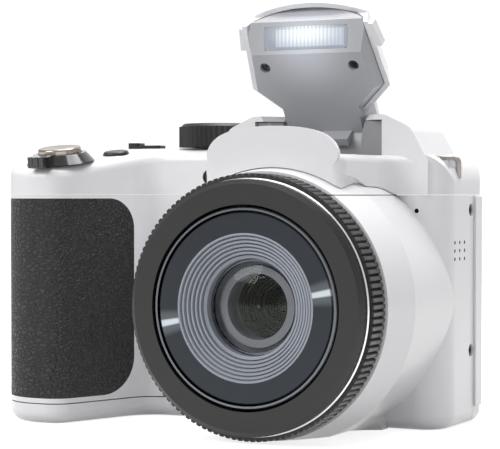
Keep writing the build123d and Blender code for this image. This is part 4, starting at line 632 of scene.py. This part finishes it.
def flash_window(name, base, glow, strength, low, high):
    """Ribbed window plastic with a painted glow about its middle, as if lit from behind; low and high
    are its corners.
    """
    border_x, border_z, border_shift, border_shade = 2.2 * MM, 0.75 * MM, 1.2 * MM, 0.75
    rib_pitch, rib_shade, rib_mean, rib_swing = 1.06 * MM, (0.24, 0.27, 0.32), 0.72, 0.28
    glow_rise, glow_reach, glow_stretch = 1.2 * MM, 7.6 * MM, (0.62, 0.0, 1.5)
    glow_mean, glow_swing = 0.8, 0.2
    dim_border, dim_ribs = (0.06, 0.07, 0.085), (0.20, 0.22, 0.26)
    nodes, shader, material = new_material(name)
    soft = nodes.group("variation", Roughness=0.22)
    nodes.link(soft.outputs["Roughness"], shader.inputs["Roughness"])
    middle = (low + high) / 2
    half = (high - low) / 2
    centre = middle + Vector((border_shift, 0, 0))
    ribbed = nodes.group("frame", Centre=centre, Half_X=half.x - border_x, Half_Z=half.z - border_z)
    area = ribbed.outputs["Mask"]
    across = nodes.add("ShaderNodeSeparateXYZ", {0: object_place(nodes)}).outputs["X"]
    rib = nodes.math("SINE", nodes.math("MULTIPLY", across, math.tau / rib_pitch))
    shade = nodes.math("ADD", rib_mean, nodes.math("MULTIPLY", rib, rib_swing))
    border = tuple(part * border_shade for part in base)
    face = nodes.mix(area, border, nodes.mix(shade, rib_shade, base))
    nodes.link(face, shader.inputs["Base Color"])
    # Painted glow: an emitting spot about the window's middle, banded by the ribs
    spot = nodes.group(
        "spot", Centre=middle + Vector((0, 0, glow_rise)), Stretch=glow_stretch, Radius=glow_reach
    ).outputs["Mask"]
    banded = nodes.math("ADD", glow_mean, nodes.math("MULTIPLY", rib, glow_swing))
    glare = nodes.math("MULTIPLY", spot, banded)
    light = nodes.mix(glare, nodes.mix(area, dim_border, dim_ribs), glow)
    nodes.link(light, shader.inputs["Emission Color"])
    shader.inputs["Emission Strength"].default_value = strength
    shader.inputs["Coat Weight"].default_value = 0.6
    return material


def screen_glass(name, low, high):
    """Dark gloss window over the display, which is a little paler than its border."""
    border_x, border_z = 2.2 * MM, 3.0 * MM
    border_shade, display_shade, smear = (0.004, 0.004, 0.005), (0.012, 0.013, 0.016), 0.14
    nodes, shader, material = new_material(name)
    half = (high - low) / 2
    middle = (low + high) / 2
    area = nodes.group("frame", Centre=middle, Half_X=half.x - border_x, Half_Z=half.z - border_z)
    shade = nodes.mix(area.outputs["Mask"], border_shade, display_shade)
    nodes.link(shade, shader.inputs["Base Color"])
    rough = nodes.noise(object_place(nodes), 60.0, 2.0)
    nodes.link(nodes.math("MULTIPLY", rough, smear), shader.inputs["Roughness"])
    shader.inputs["Coat Weight"].default_value = 1.0
    return material


def dull_black(name, base, shine):
    """Black paint that swallows light inside the lens."""
    nodes, shader, material = new_material(name)
    vary(nodes, shader, base, 0.5, 0.2)
    shader.inputs["Specular IOR Level"].default_value = shine
    return material


def glowing(name, base, glow, strength):
    """A surface that gives off light: a painted glow."""
    nodes, shader, material = new_material(name)
    soft = nodes.group("variation", Color=(*base, 1))
    nodes.link(soft.outputs["Color"], shader.inputs["Base Color"])
    shader.inputs["Emission Color"].default_value = (*glow, 1)
    shader.inputs["Emission Strength"].default_value = strength
    return material


MATERIALS = {}


def build_materials():
    """Builds each material once, from the colours in the panel."""
    body = settings("camera_body_colours")
    lens = settings("camera_lens_colours")
    flash = settings("camera_flash_colours")
    sizes = settings("camera_lens_sizes")
    # Label, base colour, roughness, variation, grain per metre, grain depth in mm, coat
    plastics = {
        "white": ("Gloss white plastic", body.white, 0.30, 0.012, 520.0, 0.001, 0.22),
        "black": ("Satin black plastic", body.black, 0.30, 0.10, 2600.0, 0.004, 0.0),
        "gloss": ("Gloss black plastic", body.black, 0.14, 0.06, 1500.0, 0.001, 0.5),
        "knurl": ("Ribbed black rubber", body.black, 0.40, 0.2, 4200.0, 0.012, 0.0),
        "front": ("Front ring satin", lens.ring, 0.38, 0.05, 5200.0, 0.004, 0.0),
        "cover": ("Flash cover plastic", flash.cover, 0.30, 0.015, 700.0, 0.001, 0.2),
        "housing": ("Flash housing plastic", flash.housing, 0.40, 0.03, 1600.0, 0.002, 0.0),
        "well": ("Flash well plastic", flash.well, 0.42, 0.03, 1600.0, 0.002, 0.0),
        "bezel": ("Bezel paint", lens.bezel, 0.45, 0.04, 5200.0, 0.004, 0.0),
        "board": ("Circuit board", (0.03, 0.16, 0.07), 0.35, 0.3, 1200.0, 0.03, 0.0),
        "card": ("Card plastic", (0.05, 0.06, 0.17), 0.4, 0.1, 1200.0, 0.01, 0.0),
        "battery": ("Battery sleeve", (0.07, 0.07, 0.075), 0.35, 0.1, 1200.0, 0.01, 0.0),
        "lamp": ("Smoked lamp window", (0.020, 0.006, 0.005), 0.08, 0.05, 900.0, 0.001, 1.0),
        "mark": ("Printed mark", body.mark, 0.45, 0.02, 1200.0, 0.001, 0.0),
    }
    # Label, colour, roughness, grain per metre, grain depth in mm
    metals = {
        "rim": ("Bright barrel rim", lens.rim, 0.28, 3000.0, 0.002),
        "steel": ("Satin steel", body.steel, 0.30, 3600.0, 0.003),
        "shine": ("Polished trim", (0.80, 0.80, 0.82), 0.30, 3600.0, 0.001),
        "screw": ("Blackened screws", body.screw, 0.34, 3600.0, 0.003),
        "shutter": ("Shutter cap metal", body.shutter, 0.24, 3600.0, 0.0015),
    }
    for key, (label, base, roughness, variation, grain, depth, coat) in plastics.items():
        MATERIALS[key] = plastic(label, base, roughness, variation, grain, depth * MM, coat)
    for key, (label, base, roughness, grain, depth) in metals.items():
        MATERIALS[key] = metal(label, base, roughness, grain, depth * MM)
    # Painted shade along the parting lines of the white shells
    overlay(MATERIALS["white"], "painted_seams", body.seam)
    # Painted light: the housing is painted paler in a soft spot below the window
    window_low, window_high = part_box("flash_window")
    lit_drop, lit_reach = 2.0 * MM, 15.0 * MM
    below_window = (window_low + window_high) / 2 - Vector((0, 0, lit_drop))
    overlay(
        MATERIALS["housing"], "spot", flash.housing_painted_light,
        Centre=below_window, Stretch=(1.0, 0.0, 1.0), Radius=lit_reach,
    )
    MATERIALS["grip"] = leather_rubber("Leather-grained rubber", body.rubber)
    MATERIALS["barrel"] = turned_metal(
        "Turned barrel front", lens.barrel, roughness=0.34, pitch=sizes.groove_pitch,
        depth=0.0012 * MM, metallic=0.6, painted_sheen=lens.painted_sheen,
    )
    MATERIALS["baffle"] = turned_metal(
        "Sandblasted baffle", lens.baffle, roughness=0.60, pitch=0.36 * MM,
        depth=0.02 * MM, metallic=0.1, painted_sheen=lens.baffle,
    )
    MATERIALS["glass"] = coated_glass("Coated glass", lens.coating, mirror=0.35)
    MATERIALS["inner_glass"] = coated_glass("Inner coated glass", lens.inner, mirror=0.6)
    MATERIALS["cell"] = dull_black("Lens cell black", lens.cell, shine=0.16)
    # Dull black for the real iris, and painted shade for the disc behind it and for the hole plugs
    MATERIALS["stop_and_shade"] = dull_black("Light stop", lens.cell, shine=0.0)
    MATERIALS["screen"] = screen_glass("Screen glass", *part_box("lcd_window"))
    MATERIALS["window"] = flash_window(
        "Flash window plastic", flash.frame, flash.glow, flash.glow_strength, *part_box("flash_window")
    )
    # Painted glow on the reflector and the tube
    lit_white = (0.9, 0.9, 0.9)
    MATERIALS["reflector"] = glowing("Lit reflector", lit_white, flash.glow, strength=0.9)
    MATERIALS["tube"] = glowing("Lit flash tube", lit_white, flash.glow, strength=2.2)


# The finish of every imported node
NODE_FINISH = {
    "white": "front_shell rear_shell base_cover battery_door top_cover",
    "cover": "flash_cover",
    "grip": "grip_rubber thumb_rest",
    "housing": "flash_housing",
    "well": "flash_well",
    "front": "front_ring",
    "knurl": "knurled_ring mode_dial",
    "black": (
        "battery_chamber port_cover lens_housing zoom_cam_ring lcd_module speaker microphone"
        " flash_capacitor power_button drive_button video_button menu_button playback_button"
        " display_button four_way_pad ok_button"
    ),
    "gloss": "zoom_lever",
    "lamp": "focus_lamp",
    "screw": "flash_screws case_screws",
    "barrel": "inner_barrel",
    "baffle": "ridged_baffle",
    "rim": "outer_barrel",
    "bezel": "bezel_ring",
    "glass": "front_glass middle_lens focus_lens",
    "steel": (
        "battery_door_pin card_socket usb_socket flash_hinge_pin zoom_motor chassis tripod_socket"
        " strap_lug_right strap_lug_left"
    ),
    "shutter": "shutter_button",
    "screen": "lcd_window",
    "board": "image_sensor main_board button_board",
    "card": "memory_card",
    "battery": "battery",
    "window": "flash_window",
    "reflector": "flash_reflector",
    "tube": "flash_tube",
}


# Steps, one for each group of pieces and one for the studio

class FinishFrame(bpy.types.Operator):
    """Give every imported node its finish"""

    bl_idname = "camera.finish_frame"
    bl_label = "Finish the packed pieces"

    def execute(self, context):
        build_groups()
        build_materials()
        for finish, names in NODE_FINISH.items():
            for name in names.split():
                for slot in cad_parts[name].material_slots:
                    slot.material = MATERIALS[finish]
        return {"FINISHED"}


class AddFrontElement(bpy.types.Operator):
    """Model the domed front element, its bright rim and the trim by the knurled ring"""

    bl_idname = "camera.front_element"
    bl_label = "Front element"

    def add_trim(self):
        """The bright line between the front ring and the knurled ring, chamfered to catch light."""
        sunk, proud, start, end = 0.4 * MM, 0.30 * MM, 0.34 * MM, 0.04 * MM
        ring_radius = (RING_HIGH.x - RING_LOW.x) / 2
        knurl_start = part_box("knurled_ring")[0].y - LENS_FRONT
        low_edge, high_edge = ring_radius - sunk, ring_radius + proud
        near, far = knurl_start - start, knurl_start - end
        outline = [
            (low_edge, near), (ring_radius, near), (high_edge, far), (low_edge, far), (low_edge, near),
        ]
        trim = turned_piece("ring_trim", outline, steps=192)
        finish_piece(trim, "body", MATERIALS["shine"])

    def execute(self, context):
        thickness, rim_gap, rim_lead = 0.9 * MM, 0.02 * MM, 0.3 * MM
        sizes = settings("camera_lens_sizes")
        depth = sizes.element_depth
        face = dome_face(sizes.element_radius, depth, sizes.element_crown, steps=10)
        back = [(radius, place + thickness) for radius, place in reversed(face)]
        glass = turned_piece("front_element", face + back + [face[0]])
        finish_piece(glass, "inner_stage", MATERIALS["glass"])
        inner = sizes.element_radius + rim_gap
        outline = ring_profile(inner, inner + sizes.rim_width, depth - rim_lead, depth + thickness)
        rim = turned_piece("element_rim", outline)
        finish_piece(rim, "inner_stage", MATERIALS["rim"])
        self.add_trim()
        return {"FINISHED"}


class AddLensCell(bpy.types.Operator):
    """Model the stepped black cell, the inner glass, the iris and a black disc of painted shade behind
    the front glass
    """

    bl_idname = "camera.lens_cell"
    bl_label = "Lens cell"

    def add_black(self, name, outline, material, steps, angle=SMOOTH_ANGLE):
        """A black ring of the cell."""
        piece = turned_piece(name, outline, steps)
        finish_piece(piece, "inner_stage", MATERIALS[material], angle)

    def execute(self, context):
        tread, rise, wall = 0.62 * MM, 1.2 * MM, 0.9 * MM
        glass_gap, glass_crown, glass_thickness = 0.05 * MM, 1.3 * MM, 0.7 * MM
        iris_gap, iris_thickness = 1.6 * MM, 0.2 * MM
        back_start, back_end = 2.4 * MM, 2.8 * MM
        sizes = settings("camera_lens_sizes")
        radius, depth = sizes.cell_radius, sizes.cell_start
        outer = radius + wall
        steps = [(radius, depth)]
        for _ in range(sizes.cell_steps):
            depth += rise
            steps.append((radius, depth))
            radius -= tread
            steps.append((radius, depth))
        far = depth + rise
        outline = steps + [(radius, far), (outer, far), (outer, sizes.cell_start), steps[0]]
        self.add_black("lens_cell", outline, "cell", steps=96)
        face = dome_face(radius - glass_gap, depth, glass_crown, steps=8)
        back = [(across, depth + glass_thickness) for across, _ in reversed(face)]
        glass = turned_piece("inner_glass", face + back + [face[0]], steps=96)
        finish_piece(glass, "inner_stage", MATERIALS["inner_glass"])
        near = depth + iris_gap
        outline = ring_profile(sizes.iris_radius, outer, near, near + iris_thickness)
        self.add_black("iris", outline, "stop_and_shade", steps=sizes.iris_blades, angle=20)
        # Painted shade: an opaque dull black disc behind the iris stands in for the shade deep inside
        # the lens
        outline = ring_profile(TINY_RADIUS, outer, near + back_start, near + back_end)
        self.add_black("cell_back_shade", outline, "stop_and_shade", steps=48)
        return {"FINISHED"}


class AddHoles(bpy.types.Operator):
    """Fill the speaker and microphone holes with dull black plugs a little below the surface, as painted
    shade inside the holes
    """

    bl_idname = "camera.holes"
    bl_label = "Speaker and microphone hole shade"

    def execute(self, context):
        pitch_y, pitch_z, reach = 3.6 * MM, 2.1 * MM, 1.2 * MM
        speaker_radius, mic_radius = 0.47 * MM, 0.57 * MM
        sunk, mic_lead = 0.06 * MM, 2.2 * MM
        low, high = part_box("speaker")
        centre = (low + high) / 2
        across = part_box("front_shell")[1].x - sunk - reach / 2
        sideways, forward = (0, math.pi / 2, 0), (math.pi / 2, 0, 0)
        plugs = []
        for row in (-1, 0, 1):
            for column in (-1, 0, 1):
                place = (across, centre.y + row * pitch_y, centre.z + column * pitch_z)
                plugs.append((place, sideways, speaker_radius))
        mic_low, mic_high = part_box("microphone")
        mic = (mic_low + mic_high) / 2
        front = mic_low.y - mic_lead
        plugs.append(((mic.x, front + reach / 2, mic.z), forward, mic_radius))
        # Painted shade: each plug is a dull black piece standing in for the shade inside its hole
        for index, (place, turn, radius) in enumerate(plugs):
            deselect()
            bpy.ops.mesh.primitive_cylinder_add(
                vertices=ROUND_CORNERS, radius=radius, depth=reach, location=place, rotation=turn
            )
            plug = named(f"hole_shade_plug_{index}")
            apply_place(plug)
            finish_piece(plug, "body", MATERIALS["stop_and_shade"])
        return {"FINISHED"}


class AddMarks(bpy.types.Operator):
    """Add plain marks to the mode dial and the rear buttons"""

    bl_idname = "camera.marks"
    bl_label = "Plain marks"

    def add_mark(self, name, body, corners, radius, place, turn):
        """A flat mark sunk in a button's face, standing 0.02 mm proud of it."""
        thickness = 0.06 * MM
        deselect()
        bpy.ops.mesh.primitive_cylinder_add(
            vertices=corners, radius=radius, depth=thickness, location=place, rotation=turn
        )
        mark = named(name)
        apply_place(mark)
        finish_piece(mark, body, MATERIALS["mark"])

    def execute(self, context):
        dial_radius, button_radius = 0.65 * MM, 0.7 * MM
        inset, sunk = 2.2 * MM, 0.01 * MM
        low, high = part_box("mode_dial")
        centre = (low + high) / 2
        reach = (high.x - low.x) / 2 - inset
        for index in range(DIAL_STEPS):
            turn = index * math.tau / DIAL_STEPS
            across, along = reach * math.cos(turn), reach * math.sin(turn)
            place = (centre.x + across, centre.y + along, high.z - sunk)
            # Round marks take turns with marks of four and of six corners
            corners = 3 + index % 4 if index % 2 else ROUND_CORNERS
            self.add_mark(f"dial_mark_{index}", "dial", corners, dial_radius, place, (0, 0, turn))
        backward = (math.pi / 2, 0, 0)
        button_corners = {"menu": 4, "playback": 3, "display": ROUND_CORNERS, "video": 6}
        for name, corners in button_corners.items():
            low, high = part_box(f"{name}_button")
            place = ((low.x + high.x) / 2, high.y - sunk, (low.z + high.z) / 2)
            self.add_mark(f"{name}_mark", name, corners, button_radius, place, backward)
        return {"FINISHED"}


class AddStudio(bpy.types.Operator):
    """Add the floor, the lights and the photograph's camera"""

    bl_idname = "camera.studio"
    bl_label = "Studio"

    def floor_material(self, studio):
        """Pale floor that is seen as white and keeps the object's shadow."""
        nodes, shader, material = new_material("Pale floor")
        shader.inputs["Base Color"].default_value = (*studio.floor, 1)
        shader.inputs["Roughness"].default_value = 0.9
        shader.inputs["Specular IOR Level"].default_value = 0.1
        path = nodes.add("ShaderNodeLightPath").outputs
        seen = nodes.math("MAXIMUM", path["Is Camera Ray"], path["Is Glossy Ray"])
        seen = nodes.math("MAXIMUM", seen, path["Is Transmission Ray"])
        lift = nodes.math("MULTIPLY", seen, studio.floor_lift)
        nodes.link(lift, shader.inputs["Emission Strength"])
        shader.inputs["Emission Color"].default_value = (1, 1, 1, 1)
        return material

    def add_floor(self, studio):
        """A floor that sweeps up into a backdrop."""
        width, height, sweep, shift = 3.0, 2.5, 0.8, 0.4
        deselect()
        bpy.ops.mesh.primitive_plane_add(size=width, location=(0, shift, 0))
        floor = named("studio_floor")
        apply_place(floor)
        bpy.ops.object.mode_set(mode="EDIT")
        bpy.ops.mesh.select_all(action="DESELECT")
        bpy.ops.object.mode_set(mode="OBJECT")
        back = max(vertex.co.y for vertex in floor.data.vertices)
        for edge in floor.data.edges:
            edge.select = all(abs(floor.data.vertices[i].co.y - back) < MM for i in edge.vertices)
        bpy.ops.object.mode_set(mode="EDIT")
        bpy.ops.mesh.extrude_region_move(TRANSFORM_OT_translate={"value": (0, 0, height)})
        bpy.ops.object.mode_set(mode="OBJECT")
        apply_modifier(floor, "BEVEL", width=sweep, segments=12, limit_method="ANGLE")
        floor.data.materials.append(self.floor_material(studio))
        for face in floor.data.polygons:
            face.use_smooth = True

    def add_world(self, studio):
        """Even light, seen as white by the camera and as pale grey in reflections."""
        mirrored = 0.6
        world = bpy.context.scene.world or bpy.data.worlds.new("World")
        bpy.context.scene.world = world
        world.use_nodes = True
        nodes = Nodes(world.node_tree)
        background = world.node_tree.nodes["Background"]
        background.inputs["Color"].default_value = (1, 1, 1, 1)
        path = nodes.add("ShaderNodeLightPath").outputs
        seen = nodes.math("MAXIMUM", path["Is Camera Ray"], path["Is Transmission Ray"])
        seen = nodes.math("MAXIMUM", seen, nodes.math("MULTIPLY", path["Is Glossy Ray"], mirrored))
        strength = nodes.math("MAXIMUM", seen, studio.ambient)
        nodes.link(strength, background.inputs["Strength"])

    def add_light(self, name, place, size, power):
        """An area light that faces the object; size is (width, height)."""
        target = Vector((0, -0.02, 0.045))
        bpy.ops.object.light_add(type="AREA", location=place)
        light = bpy.context.object
        light.name = name
        light.data.shape = "RECTANGLE"
        light.data.size, light.data.size_y = size
        light.data.energy = power
        away = target - Vector(place)
        light.rotation_euler = away.to_track_quat("-Z", "Y").to_euler()

    def add_camera(self, studio):
        """The photograph's camera."""
        bpy.ops.object.camera_add(location=studio.eye)
        camera = bpy.context.object
        camera.name = "photo_camera"
        camera.rotation_euler = (math.pi / 2 - studio.pitch, 0, studio.turn)
        camera.data.sensor_width = 36
        camera.data.sensor_fit = "HORIZONTAL"
        camera.data.lens = studio.focal_length
        camera.data.clip_start = 0.01
        bpy.context.scene.camera = camera

    def execute(self, context):
        studio = settings("camera_studio")
        self.add_floor(studio)
        self.add_world(studio)
        # Name, place, width and height, power
        lights = (
            ("key_light", (-0.55, -0.75, 0.70), (0.6, 0.6), studio.key_power),
            ("fill_light", (0.95, -0.55, 0.35), (0.5, 0.7), studio.fill_power),
            ("top_light", (0.05, 0.15, 0.95), (0.8, 0.6), studio.top_power),
            ("strip_light", (0.62, -0.55, 0.22), (0.03, 0.5), studio.strip_power),
        )
        for light in lights:
            self.add_light(*light)
        self.add_camera(studio)
        bpy.context.scene.view_settings.view_transform = "Standard"
        return {"FINISHED"}


STEPS = (FinishFrame, AddFrontElement, AddLensCell, AddHoles, AddMarks, AddStudio)


class CameraPanel(bpy.types.Panel):
    """Lists the steps that dress the camera, and their settings."""

    bl_idname = "VIEW3D_PT_bridge_camera"
    bl_label = "Bridge camera"
    bl_space_type = "VIEW_3D"
    bl_region_type = "UI"
    bl_category = "Camera"

    def draw(self, context):
        layout = self.layout
        for step in STEPS:
            layout.operator(step.bl_idname)
        for name, group in SETTINGS.items():
            box = layout.box()
            for key in group.__annotations__:
                box.prop(getattr(context.scene, name), key)


CLASSES = (*SETTINGS.values(), *STEPS, CameraPanel)


def register():
    for cls in CLASSES:
        bpy.utils.register_class(cls)
    for name, group in SETTINGS.items():
        setattr(bpy.types.Scene, name, PointerProperty(type=group))


def unregister():
    for name in SETTINGS:
        delattr(bpy.types.Scene, name)
    for cls in reversed(CLASSES):
        bpy.utils.unregister_class(cls)


def main():
    """Runs every step."""
    register()
    for step in STEPS:
        area, call = step.bl_idname.split(".")
        getattr(getattr(bpy.ops, area), call)()


if __name__ == "__main__":
    main()
